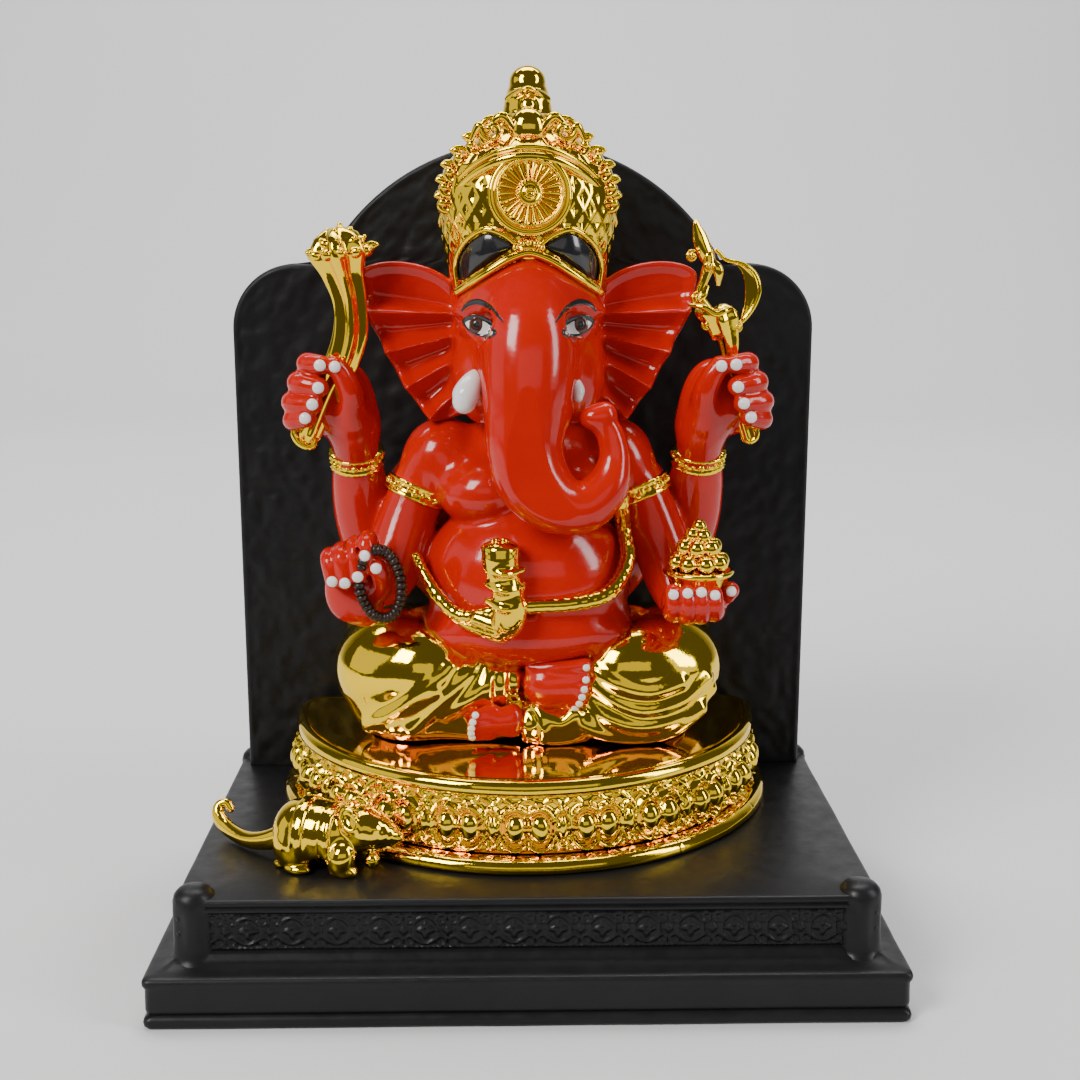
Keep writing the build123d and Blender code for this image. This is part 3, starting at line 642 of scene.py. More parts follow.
def outline_distance(u, z, outline):
    """Distance to a closed outline in a plane, negative inside."""
    near = np.full(np.broadcast(u, z).shape, 1e9)
    crossings = np.zeros(near.shape, int)
    for a, b in zip(outline, np.roll(outline, -1, 0)):
        e = b - a
        t = np.clip(((u - a[0]) * e[0] + (z - a[1]) * e[1]) / (e @ e), 0, 1)
        near = np.minimum(near, np.hypot(u - a[0] - t * e[0], z - a[1] - t * e[1]))
        level = (a[1] > z) != (b[1] > z)
        crossings += level & (u < (z - a[1]) / np.where(e[1] == 0, 1e-9, e[1]) * e[0] + a[0])
    return np.where(crossings % 2 == 1, -near, near)


def ear(side):
    """A broad ear whose lower two thirds are pleated like a fan, from the middle of the face outwards."""
    outline = curve(EAR_OUTLINE, 72, closed=True)

    def distance(x, y, z):
        u = side * x
        flat = outline_distance(u, z, outline)
        below = np.degrees(np.arctan2(144.5 - z, u + 1.0))
        fold = np.abs(np.sin(np.pi * (below + 2.0) / 15.5))
        pleats = smooth(-12, -2, below) * smooth(13, 22, u)
        dish = 0.9 * smooth(16, 26, u) * (1 - smooth(-12, 0, below))
        rim = 0.9 * smooth(-3.2, -0.6, flat)
        plane = 7.6 + 4.0 * pleats * (fold - 0.75) + dish - rim - 0.045 * (u - 14)
        thick = 0.8 * (np.abs(y - plane) - 0.75)
        rounded = 0.6
        a, b = thick, flat + rounded
        return np.minimum(np.maximum(a, b), 0) + np.hypot(np.maximum(a, 0), np.maximum(b, 0)) - rounded

    near, far = sorted((side * 12.0, side * 39.0))
    return distance, np.array((near, 2.0, 119.0)), np.array((far, 12.0, 158.0))


def head():
    """One red skin for the skull, cheeks, trunk and ears, cut off under the crown."""
    clay = Clay((-41, -24, 99), (41, 24, 163), 0.4)
    clay.press(egg((0, 6, 142), (16.2, 15.5, 18)))
    for side in (-1, 1):
        clay.press(ear(side), 2.5)
    for side in (-1, 1):
        clay.press(egg((side * 7.4, -1, 149.4), (8, 8.4, 8.4)), 6)
        clay.press(egg((side * 10, 0.5, 131.5), (7.2, 9.5, 11)), 5)
        clay.press(egg((side * 10.8, -4.2, 147.4), (6.4, 4.6, 2.6), (0, side * 14, 0)), 2.5)
    clay.press(rope(TRUNK, 0.8), 5.5)
    clay.press(egg((14.4, -15.2, 124), (3.6, 3, 2.7), (0, -18, 0)), 1.6)
    clay.press(egg((16.6, -15, 124.4), (2.6, 2.8, 2.8)), 1)
    for side in (-1, 1):
        clay.press(egg((side * 10.7, -12.2, 143.2), (4.6, 4.4, 3.2)), 2, cut=True)
        clay.press(egg((side * 10.6, -3.4, 142.9), (5, 5, 3.7)), 1)
    clay.press(egg((5, -10.5, 124.5), (4.6, 7, 4.6), (0, 20, 0)), 3)

    def below_brow(x, y, z):
        wide, deep = crown_radius(z)
        on_cap = CROWN_Y - (deep - 0.6) * np.sqrt(np.clip(1 - (x / wide) ** 2, 0.02, 1))
        over = np.minimum(z - BROW_PEAK + BROW_SLOPE * np.abs(x), on_cap - y)
        return np.minimum(over, BROW_HALF - np.abs(x))

    clay.keep(below_brow)
    piece("head_and_trunk", shift(clay.skin()), RED, ("head", "trunk", "left_ear", "right_ear"))
    return clay


def front_normal(clay, x, z, reach=0.8):
    """The direction that the front skin faces at (x, z)."""
    slope_x = (clay.front(x + reach, z) - clay.front(x - reach, z)) / (2 * reach)
    slope_z = (clay.front(x, z + reach) - clay.front(x, z - reach)) / (2 * reach)
    return unit((slope_x, -1.0, slope_z))


def laid_on(clay, points, width, lift, count=24):
    """A flat painted stroke that follows the skin: rows of points from edge to edge, thinner at its ends."""
    path = curve(points, count)
    rows = []
    for i, (x, z) in enumerate(path):
        ahead = path[min(i + 1, count - 1)] - path[max(i - 1, 0)]
        across = np.array((-ahead[1], ahead[0])) / np.hypot(*ahead)
        half = 0.5 * width * (0.25 + 0.75 * math.sin(math.pi * min(0.97, max(0.03, i / (count - 1)))))
        row = []
        for share, rise in ((-1.2, -0.5), (-1, 0.0), (0, 1.0), (1, 0.0), (1.2, -0.5)):
            at = (x + across[0] * half * share, z + across[1] * half * share)
            y = clay.front(*at) - lift * rise
            row.append((at[0], y, at[1]))
        rows.append(row)
    return rows


def decal(clay, outline, lift, rings=9):
    """A thin painted patch laid on the skin inside an outline of (x, z) points."""
    outline = np.array(outline, float)
    heart = outline.mean(0)
    rows = []
    for share in [*np.linspace(0.02, 1, rings), 1.06]:
        rim = heart + (outline - heart) * share
        rise = -0.4 if share > 1 else lift * (1 - 0.5 * share**4)
        rows.append([(x, clay.front(x, z) - rise, z) for x, z in rim])
    return rows


def almond(x, z, side, half, tall):
    """An eye's outline: pointed at both corners, the inner corner a little lower."""
    turn = np.linspace(0, 2 * math.pi, 40, endpoint=False)
    u = np.cos(turn) * half
    v = np.sign(np.sin(turn)) * np.abs(np.sin(turn)) ** 1.4 * tall
    tilt = 0.22 * side
    return [(x + a - b * tilt * 0.3, z + b + a * tilt) for a, b in zip(u, v)]


def eyes(clay):
    white, line, iris, pupil = Shape(), Shape(), Shape(), Shape()
    turn = np.linspace(0, 2 * math.pi, 24, endpoint=False)
    z = 143.2
    for side, x in ((-1, -10.9), (1, 10.8)):
        line.skin(decal(clay, almond(x, z + 0.05, side, 3.85, 2.3), 0.16), ends=False)
        white.skin(decal(clay, almond(x, z - 0.18, side, 3.1, 1.55), 0.26), ends=False)
        disc = [(x + side * 0.7 + 1.65 * math.cos(a), z + 0.15 + 1.75 * math.sin(a)) for a in turn]
        iris.skin(decal(clay, disc, 0.36), ends=False)
        dot = [(x + side * 0.7 + 0.9 * math.cos(a), z + 0.25 + 1.0 * math.sin(a)) for a in turn]
        pupil.skin(decal(clay, dot, 0.44), ends=False)
        brow = sided(side, [(14.8, 146.3), (13.4, 147.9), (10.8, 148.5), (8.0, 147.2), (5.6, 144.8)])
        line.skin(laid_on(clay, brow, 1.3, 0.16), round_rows=False, ends=False)
    piece("eye_outlines_and_brows", shift(line), BLACK)
    piece("eye_whites", shift(white), WHITE)
    piece("irises", shift(iris), EYE_BROWN)
    piece("pupils", shift(pupil), BLACK)


def tusks():
    left = [
        (-10.4, -6.5, 133.4, 1), (-12.3, -9.8, 131.2, 2.4), (-13.7, -11.8, 128.6, 3.1),
        (-14.2, -12.6, 127, 2.7),
    ]
    right = [
        (8.6, -5.5, 133.4, 0.8), (9.9, -8.6, 131.2, 1.3), (10.8, -10.6, 129.2, 1.5), (10.8, -11.6, 127.6, 1),
    ]
    for name, line in (("left_tusk", left), ("right_tusk", right)):
        shape = Shape().tube(curve(line, 16), sides=22, up=(1, 0, 0))
        piece(name + "_white", shift(shape), WHITE, (name,))


face = head()
eyes(face)
tusks()


# ---- torso, arms and hands ----
def torso():
    """Belly, chest, lap and four arms in one red skin. The hands and legs cover where they end."""
    clay = Clay((-49, -20, 60), (49, 32, 128), 0.52)
    clay.press(egg((0, 5.5, 84.5), (24.3, 19.8, 20)))
    clay.press(egg((0, 2.5, 72.6), (24.5, 16.5, 9.2)), 4.5)
    clay.press(egg((0, 15, 88), (30, 9, 20)), 2)
    for side in (-1, 1):
        clay.press(egg((side * 9.6, 1.8, 105), (11.2, 10.6, 8.4), (0, side * 12, 0)), 2.2)
        clay.press(egg((side * 19.5, 8.5, 111.5), (9.6, 9.4, 9)), 5)
        clay.press(egg((side * 17, 8, 69), (12, 14, 5)), 5)
    clay.press(egg((0, 10, 112), (15, 12, 12)), 4)
    for side in (-1, 1):
        clay.press(rope(sided(side, [
            (20, 13, 110.5, 7.6), (29, 17.5, 99, 7.8), (36.2, 18, 87.5, 7.2), (38.8, 15.6, 95, 7.3),
            (40, 13, 104, 6.6), (40.4, 10.6, 112.5, 5.4), (40.6, 8.6, 117, 5.4),
        ]), 1.4), 3)
    clay.press(rope([
        (-20, 8, 112, 8), (-25.6, 7, 104, 6.7), (-29.6, 5, 94, 6.8), (-32.2, 1.5, 85.5, 6.6),
        (-35.8, -3.5, 84, 5.4), (-38, -5.5, 85, 4.6),
    ], 1.2), 2.2)
    clay.press(rope([
        (20, 8, 112, 8), (26, 6.8, 103.5, 6.7), (30.6, 4.8, 92.5, 6.7), (34.2, 0.5, 83, 6.4),
        (36.4, -4, 79.6, 5.4), (37.2, -7, 79.6, 4.6),
    ], 1.2), 2.2)
    clay.press(rope([(-17, -12, 99.2, 0.7), (0, -18, 96.4, 0.9), (17, -12, 99.2, 0.7)]), 1.8, cut=True)
    clay.press(egg((0, -14.6, 79.6), (1.6, 3, 1.4)), 1, cut=True)
    body = clay.skin()
    arms = [f"{height}_{side}_arm" for height in ("upper", "lower") for side in ("left", "right")]
    piece("torso_and_arms", shift(body), RED, ["torso"] + arms)
    return clay


def finger(clay, joints, radii, blend):
    clay.press(rope(np.column_stack([joints, radii]), 0.7), blend)


def raised_fist(side):
    """A hand closed round a slanted grip, its fingertips in a column and its thumb on top."""
    clay = Clay((-59, -9, 108), (-32, 17, 139), 0.3)
    clay.press(egg((-40.9, 6.4, 122.6), (6.2, 6.8, 10.6), (0, -10, 0)))
    clay.press(egg((-44.6, 6.2, 126.5), (6.2, 5, 8), (0, 22, 0)), 4)
    clay.press(rope([(-40.4, 9.6, 112, 5.2), (-40.8, 8, 118, 5.6)]), 3)
    thin, thick, little = (2.6, 2.7, 2.5, 2.2), (2.7, 2.9, 2.7, 2.3), (2.5, 2.7, 2.5, 2.2)
    for joints, radii in (
        ([(-44.5, 7.5, 131), (-49.4, 4.5, 133.4), (-49.8, 0.2, 134.2), (-46.8, -2.2, 134.2)], thin),
        ([(-45, 8.5, 126.8), (-51, 5, 129.2), (-51.8, 0, 129.8), (-47.2, -3, 129.2)], thick),
        ([(-45.5, 8.5, 122.6), (-52.4, 5, 124.8), (-53.2, 0, 125.4), (-48.6, -3.2, 125.4)], thick),
        ([(-45.5, 8, 118.8), (-52.4, 4.6, 120.8), (-53.4, 0.4, 121.4), (-50.2, -2.6, 122.2)], little),
    ):
        finger(clay, joints, radii, 0.9)
    thumb = [(-40.6, 2.5, 121, 3.6), (-40.2, -0.6, 127, 3), (-41.4, -1.6, 131, 2.6), (-43.2, -2, 133.8, 2.3)]
    clay.press(rope(thumb, 0.8), 1.6)
    hand = clay.skin(5)
    if side > 0:
        for points in hand.points:
            points[:, 0] *= -1
    name = "upper_left_hand" if side < 0 else "upper_right_hand"
    piece(name + "_fist", shift(hand), RED, (name,))
    return clay


def blessing_hand():
    """The lower left hand, its fingers folded over at the top and holding the rosary with the thumb."""
    clay = Clay((-51, -18, 72), (-25, 2, 101), 0.3)
    clay.press(egg((-40.6, -5.6, 84.6), (6, 4.2, 9), (0, 12, 0)))
    clay.press(egg((-38, -5.2, 79.6), (4.4, 4, 5.6), (0, -24, 0)), 3)
    little, thick = (2.5, 2.3, 2.1, 1.9), (2.6, 2.4, 2.2, 2)
    for joints, radii in (
        ([(-43.8, -5.6, 86), (-45, -7.4, 91), (-44.8, -11, 90.8), (-44.1, -11.8, 86.9)], little),
        ([(-41.2, -5.8, 87.5), (-42.2, -7.8, 92.4), (-42, -11.8, 91.8), (-41.2, -12.4, 86.7)], thick),
        ([(-38.6, -6, 88.5), (-39.3, -8, 93.8), (-39, -12, 93), (-38.3, -12.8, 88.2)], thick),
        ([(-36.2, -6, 88), (-36.2, -8.2, 95), (-36.4, -12, 95.2), (-36.6, -13, 93)], (2.5, 2.3, 2.2, 2.1)),
    ):
        finger(clay, joints, radii, 0.7)
    thumb = [(-36.6, -6, 81, 3), (-33.6, -8.8, 84.6, 2.6), (-33.4, -11.4, 88, 2.3), (-34.2, -12.6, 90, 2)]
    clay.press(rope(thumb, 0.8), 1.4)
    for x in (-43.6, -40.8, -38.0):
        crease = [(x, -8.2, 95.6, 0.4), (x, -14.2, 93.4, 0.5), (x + 0.3, -15, 88.8, 0.4)]
        clay.press(rope(crease), 0.8, cut=True)
    piece("lower_left_hand_open", shift(clay.skin(5)), RED, ("lower_left_hand",))
    return clay


def offering_hand():
    """The lower right hand, cupped under the bowl with its fingertips in a row."""
    clay = Clay((27, -21, 71), (51, 2, 89), 0.3)
    clay.press(egg((37.2, -7.6, 80.4), (7, 7.6, 4.6)))
    for place in range(4):
        x = 32.4 + 3.1 * place
        drop = 0.5 * abs(place - 1.4)
        tip = (x - 0.3, -16.2 + drop, 84.6 - 0.5 * (place == 3))
        joints = [(x + 0.6, -9, 78.8), (x, -14.4 + drop, 78.8 + drop), (x - 0.1, -16.6 + drop, 81.6), tip]
        finger(clay, joints, (2.6, 2.4, 2, 1.8), 0.7)
    clay.press(rope([(41, -6, 79.8, 2.8), (44.4, -9.2, 82, 2.2), (45.6, -11, 83.8, 2)], 0.8), 1.2)
    piece("lower_right_hand_cupped", shift(clay.skin(5)), RED, ("lower_right_hand",))
    return clay


# ---- legs in gold drapery, with the red of the body sprayed over their tops ----
def red_line(x):
    """How high the red paint of the lap reaches down at x."""
    across = (-46, -40, -30, -24, -16, -6, 2, 13, 22, 30, 40, 47)
    up = (90, 90, 84.0, 74.5, 68.6, 65.6, 65.2, 68.4, 74.5, 84.0, 90, 90)
    return np.interp(x, across, up)


def legs():
    """Folded legs and the cloth over the hips, in one gold skin with red sprayed on its top."""
    clay = Clay((-49, -17, 45.5), (49, 36, 80), 0.4)
    clay.press(egg((0, 16, 58), (27, 17, 15)))
    for side in (-1, 1):
        clay.press(egg((side * 29.2, 7.5, 61.2), (17.2, 17.4, 15)), 3)
        clay.press(egg((side * 18, 6, 61), (18, 15, 9)), 4)
        clay.press(egg((side * 27, 5, 51.6), (14, 16, 7.4)), 4)
    clay.press(egg((-15.5, -3, 58.6), (15.6, 8.2, 7), (0, -18, 0)), 4)
    clay.press(egg((18, -3, 52.6), (18.5, 8.8, 6.4), (0, -8, 0)), 4)
    clay.press(egg((5, -4.2, 51), (9, 7.4, 6.4)), 3)
    for side in (-1, 1):
        clay.press(egg((side * 23.5, 0, 63.4), (12.5, 12.2, 11.2)), 4)
    clay.press(egg((-12, -2, 51), (13, 7, 5.4)), 3)
    drape(clay)
    knee_pleats(clay)
    clay.keep_above(seat_z)
    skin = clay.skin(5)
    points = np.vstack(skin.points)
    ripple = 1.1 * np.sin(points[:, 0] * 0.9) + 0.7 * np.sin(points[:, 0] * 2.3 + 1)
    above = points[:, 2] - red_line(points[:, 0]) - 0.35 * ripple
    paint = smooth(-1.6, 1.6, above) * smooth(22, 12, points[:, 1])
    nodes = ("left_leg", "right_leg", "hip_cloth", "front_pleats")
    piece("draped_legs", shift(skin), GOLD_AND_RED, nodes, weights=paint)


def drape(clay):
    """Folds of the cloth over the shins, each a rope that follows the front."""

    def fold(points, radius, sink, blend=1.6):
        line = [(x, clay.front(x, z, sink), z, radius) for x, z in points]
        clay.press(rope(line, 0.9), blend)

    for points, radius in (
        ([(-37.4, 50), (-32, 54), (-25.6, 59.2), (-20.6, 63.4), (-18.4, 66)], 1.7),
        ([(-27.2, 51), (-21, 57.4), (-15.4, 63.2), (-12.2, 66)], 1.7),
        ([(-19.8, 54.8), (-12.4, 59.4), (-8.6, 63.8)], 1.4),
        ([(-31.6, 51), (-26.4, 55.6), (-21.6, 60.4)], 1),
    ):
        fold(points, radius, 0.7)
    for x in (-9.4, -6.2, -3.0, -0.8):
        fold([(x, 65.5), (x - 0.3, 61.0), (x + 0.1, 57.0)], 1.1, 0.45, 1.0)
    for points in (
        [(15, 61), (19.8, 57.6), (26.3, 55.6), (34.8, 56.9), (41.4, 61)],
        [(13.6, 57.6), (19.2, 53.4), (26.4, 51.6), (36.1, 53.2), (42.6, 57.8)],
        [(9.8, 54.4), (15.3, 50.4), (23.2, 48.4), (32.9, 49.4), (40, 54)],
    ):
        fold(points, 1.6, 0.6)
    fold([(14.4, 64.8), (20.5, 61.6), (27.6, 59.8), (35.0, 61.4)], 1.3, 0.5)
    for points in ([(-0.6, 55.6), (-0.7, 51.6), (-0.6, 48.0)], [(2.3, 55.0), (3.4, 51.4), (3.2, 48.2)]):
        fold(points, 1.1, 0.4, 1.0)
    fold([(1.0, 55.4), (6.8, 52.4), (10.6, 54.6)], 1.2, 0.5)


def knee_pleats(clay):
    """Pleats that sweep round the outside of each knee and sink towards the back."""
    knee, radii = (29.2, 7.5, 61.2), (16.9, 17.1, 14.7)
    turn = np.linspace(0.2, 1.35, 9)
    for side in (-1, 1):
        for rise in (0.75, 0.35, -0.05):
            up = rise - 0.55 * turn
            x = side * (knee[0] + radii[0] * np.cos(turn) * np.cos(up))
            y = knee[1] + radii[1] * np.sin(turn) * np.cos(up)
            z = knee[2] + radii[2] * np.sin(up)
            clay.press(rope(np.column_stack([x, y, z, np.full(9, 0.9)]), 1.2), 2.2)


def right_foot():
    """The upper sole, seen from below, with its toes in a row on the right."""
    upper = Clay((-3, -17, 52), (19, 0, 70), 0.28)
    upper.press(egg((4, -7.4, 60.8), (5.4, 5, 5.6)))
    upper.press(egg((9.4, -8, 61.2), (5.6, 4.6, 5.6), (0, -8, 0)), 3)
    toes = [
        (13, -10.2, 66), (12.9, -11, 63.2), (12.5, -11.4, 61), (12, -11.2, 59.1), (11.4, -10.8, 57.4),
        (10.4, -10, 56),
    ]
    for x, y, z in toes:
        upper.press(rope([(x - 5, y + 2.6, z * 0.6 + 24.4, 2), (x, y, z, 1.25)]), 0.8)
    upper.press(rope([(0.4, -8.2, 65.2, 1.4), (6, -10.2, 65.8, 1.2), (12.6, -10.4, 66.2, 1.4)]), 1.6)
    piece("right_foot_sole", shift(upper.skin(5)), RED, ("right_foot",))
    return upper, toes, 0.87


def left_foot():
    """The lower foot, between the pleats, with its toes in a row on the left."""
    lower = Clay((-18, -18, 46.5), (3, -1, 60), 0.28)
    lower.press(rope([(-3.8, -8.6, 54.4, 2), (-3.8, -8.6, 50.6, 2)]))
    lower.press(rope([(-10.6, -10.2, 54.2, 1.9), (-10.6, -10.2, 50.8, 1.9)]), 0.5)
    lower.press(egg((-7.2, -9.6, 52.5), (5.2, 2.6, 3.4)), 2)
    toes = [
        (-12.4, -12, 55.2), (-13, -12.6, 53.7), (-13.3, -12.8, 52.2), (-13.4, -12.6, 50.9),
        (-13.2, -12, 49.7),
    ]
    for x, y, z in toes:
        lower.press(rope([(x + 4, y + 2.4, z, 1.6), (x, y, z, 0.95)]), 0.7)
    lower.keep_above(seat_z + 0.4)
    piece("left_foot_sole", shift(lower.skin(5)), RED, ("left_foot",))
    return lower, toes, 0.85


def nails(hands, soles):
    """White dots of paint on every fingertip and toe."""
    shape = Shape()

    def dot(clay, x, z, radius, side=-1):
        out = front_normal(clay, x, z)
        at = np.array((x, clay.front(x, z), z)) - out * 0.1
        if side > 0:
            at[0], out[0] = -at[0], -out[0]
        shape.dome(at, out, radius, radius * 0.55)

    fist, open_hand, cupped = hands
    for side in (-1, 1):
        for x, z in ((-46.6, 134.2), (-43.3, 133.9), (-47, 129.3), (-48.4, 125.6), (-50.2, 122.4)):
            dot(fist, x, z, 1.35, side)
    for x, z in ((-44.1, 86.8), (-41.2, 86.6), (-38.3, 88.1), (-36.7, 93), (-34.2, 90)):
        dot(open_hand, x, z, 1.3)
    for x, z in ((32, 84.4), (35.1, 84.8), (38.2, 85), (41.3, 84.2), (45.5, 84)):
        dot(cupped, x, z, 1.2)
    for clay, toes, radius in soles:
        for x, _, z in toes:
            dot(clay, x, z, radius)
    piece("painted_nails", shift(shape), WHITE)


body = torso()
hands = [raised_fist(-1), blessing_hand(), offering_hand()]
raised_fist(1)
legs()
nails(hands, (right_foot(), left_foot()))


# ---- crown ----
def arch_height(x):
    """The raised arch's height over the front of the crown."""
    return ARCH_FOOT + ARCH_RISE * np.sqrt(np.clip(1 - (x / ARCH_HALF) ** 2, 0, 1))


def crown_body():
    """The woven cap: two sets of slanting strands cross over a swelling drum."""
    angles = np.linspace(-math.pi, math.pi, 420, endpoint=False)[None, :]
    heights = np.linspace(CROWN_LOW, CROWN_HIGH, 150)[:, None]
    strands = 15
    slant = (heights - CROWN_LOW) * 0.115 * 5.0
    one = np.abs(np.sin(angles * strands + slant))
    two = np.abs(np.sin(angles * strands - slant))
    weave = 0.42 * np.maximum(one**0.7, two**0.7) - 0.25
    flutes = 0.35 * np.cos(angles * 2 * strands)
    front = smooth(math.radians(95), math.radians(80), np.abs(angles))
    wide, _ = crown_radius(heights)
    below = smooth(0.5, 2.0, arch_height(wide * np.sin(angles)) - heights)
    fade = smooth(CROWN_LOW + 0.5, CROWN_LOW + 2, heights)
    relief = (weave * (0.35 + 0.65 * front * below) + flutes * (1 - front) * 0.6) * fade
    rows = crown_place(angles, heights, relief)
    piece("crown_woven_cap", shift(Shape().skin(rows)), CROWN_GOLD, ("crown_body",))


def scroll(shape, centre, size, start, turns, radius, y, spin=1):
    """A flat spiral that ends in a round eye."""
    steps = np.linspace(0, 1, 26)
    angle = start + spin * turns * 2 * math.pi * steps
    reach = size * (1 - 0.78 * steps)
    thick = radius * (0.65 + 0.55 * steps)
    x, z = centre[0] + reach * np.cos(angle), centre[1] + reach * np.sin(angle)
    path = np.stack([x, y - 0.6 * steps, z, thick], -1)
    shape.tube(path, sides=10)
    shape.ball((path[-1][0], y - 0.9, path[-1][2]), (radius * 1.35, radius * 1.2), 12, axis=(0, 1, 0))


def crown_crest():
    """Two ribs over the arch, with scrolls, beads and leaves standing along them, and a rib behind."""
    shape = Shape()
    steps = np.linspace(-0.96, 0.96, 60)
    for lift, radius, forward in ((0.0, 1.15, 2.6), (2.0, 0.7, 2.2)):
        x = 19.4 * np.sin(steps * math.pi / 2)
        deep = crown_radius(168)[1]
        bow = np.sqrt(np.clip(1 - (x / 21.5) ** 2, 0, 1)) * smooth(0, 1, 1 - np.abs(steps)) ** 0.35
        y = CROWN_Y - deep * bow
        path = np.stack([x, y - forward * 0.25, arch_height(x) + lift, np.full(60, radius)], -1)
        shape.tube(path, sides=12)
    outline = [(18.6, 169.4), (18.2, 172.8), (16.9, 176), (14.8, 179), (12, 181.8), (9, 184)]
    for side in (-1, 1):
        for k, (x, z) in enumerate(outline):
            depth = 2.2 - 0.9 * (k / 5)
            size, start = 2.6 + 0.12 * k, math.pi * (0.5 - 0.25 * side)
            scroll(shape, (side * x, z), size, start, 1.0, 0.78, depth - 1.0, spin=side)
            shape.ball((side * (x + 1.0), depth - 0.4, z + 2.0), (1.25, 1.2), 14)
            shape.ball((side * (x - 2.6), depth - 1.2, z - 1.4), (1.1, 1.1), 14)
        for leaf in (
            [(2.6, -1, 184.6, 0.8), (5.6, -1.6, 188.2, 1.1), (8.6, -1, 186, 0.7)],
            [(8.8, -0.4, 182.4, 0.7), (10.6, -1.2, 186.2, 1), (12.4, -0.4, 183.2, 0.6)],
        ):
            shape.tube(curve(sided(side, leaf), 16), sides=10)
        scroll(shape, (side * 8.0, 185.2), 3.1, math.pi * (0.5 + 0.3 * side), 1.3, 0.75, -1.2, spin=-side)
    turn = np.linspace(-1.45, 1.45, 40)
    x = 19.2 * np.sin(turn)
    shape.tube(np.stack([x, 12 + 4 * np.cos(turn), arch_height(x) - 0.5, np.full(40, 1.1)], -1), sides=10)
    piece("crown_scroll_crest", shift(shape), CROWN_GOLD, ("crown_crest",))


def crown_rosette():
    """A fluted disc with a round rim and a boss, leaning back with the front of the crown."""
    rays = 22
    angles = np.linspace(0, 2 * math.pi, rays * 12, endpoint=False)[None, :]
    share = np.linspace(0, 1, 34)[:, None]
    petal = np.abs(np.cos(angles * rays / 2)) ** 0.8
    span = smooth(0.30, 0.40, share) * smooth(0.90, 0.82, share)
    edge = smooth(0.86, 0.90, share) * smooth(1.0, 0.93, share)
    ring = smooth(0.22, 0.27, share) * smooth(0.34, 0.29, share)
    boss_rise = 1.3 * smooth(0.26, 0.06, share) - smooth(0.12, 0.04, share)
    height = 1.0 + span * (1.15 * petal - 0.85) + 1.1 * edge + 0.5 * ring + boss_rise
    reach = 7.7 * share + 0.05
    heart = np.array((0.3, -9.4, 171.6))
    lean = math.radians(8)
    out = np.array((0, -math.cos(lean), math.sin(lean)))
    up = np.array((0, math.sin(lean), math.cos(lean)))
    across = np.array((1.0, 0, 0))
    rows = heart + (reach * np.cos(angles))[..., None] * across + (reach * np.sin(angles))[..., None] * up
    rows = rows + height[..., None] * out
    back = heart + 7.8 * (np.cos(angles[0])[:, None] * across + np.sin(angles[0])[:, None] * up) - 2.4 * out
    shape = Shape().skin(np.concatenate([rows, back[None]]))
    turn = np.linspace(0, 2 * math.pi, 60, endpoint=False)
    rim = [(*(heart + 8.3 * (math.cos(a) * across + math.sin(a) * up) - 0.2 * out), 0.85) for a in turn]
    shape.tube(rim, sides=10, closed=True)
    piece("crown_sun_disc", shift(shape), CROWN_GOLD, ("crown_rosette",))


def brow_band():
    """The V-shaped gold band above the eyes, a bead row and jewel on it, and a thin line over each panel."""
    shape = Shape()
    low_v = [(15.6, 150.6), (12.6, 152.6), (8.6, 155.2), (4.2, 157.8), (0, BROW_PEAK)]
    points = sided(-1, low_v) + low_v[-2::-1]
    line = [(x, min(on_crown(x, z, 0.6) - 0.4, face.front(x, z - 1.4) - 0.1), z, 1) for x, z in points]
    shape.tube(curve(line, 70), sides=12, flat=1.5)
    for x in np.linspace(-3.0, 3.0, 5):
        shape.ball((x, on_crown(x, 160, 2.2), 161.2 - 0.12 * x * x), (0.7, 0.7), 12)
    shape.ball((0, on_crown(0, 159.6, 1.0), 159.8), (2.9, 1.3), 24, axis=(0, -1, 0.2))
    for side in (-1, 1):
        over = ((15.8, 151.2), (16.2, 157.0), (13.6, 161.6), (9.6, 164.0), (5.6, 163.0), (2.6, 160.8))
        line = [(side * x, on_crown(x, z, 0.7) - 0.2, z, 0.62) for x, z in over]
        shape.tube(curve(line, 50), sides=10)
    piece("brow_band_gold", shift(shape), CROWN_GOLD, ("brow_band",))


def leaf_panels():
    """A domed black leaf over each brow."""
    panels = Shape()
    leaf = (
        (15.2, 152.9), (15.6, 157.2), (13.1, 161), (9.4, 163.1), (5.8, 162), (3.7, 160.2), (7.4, 157.5),
        (11.6, 154.7),
    )
    for side in (-1, 1):
        outline = curve(sided(side, leaf), 48, closed=True)
        heart = outline.mean(0)
        rows = []
        for share in [*np.linspace(0.02, 1, 10), 1.04]:
            rim = heart + (outline - heart) * share
            bulge = -0.8 if share > 1 else 0.55 + 1.0 * (1 - share**2)
            rows.append([(x, on_crown(x, z, 0) - bulge, z) for x, z in rim])
        panels.skin(rows, ends=False)
    piece("black_leaf_panels", shift(panels), BLACK, ("crown_insets",))


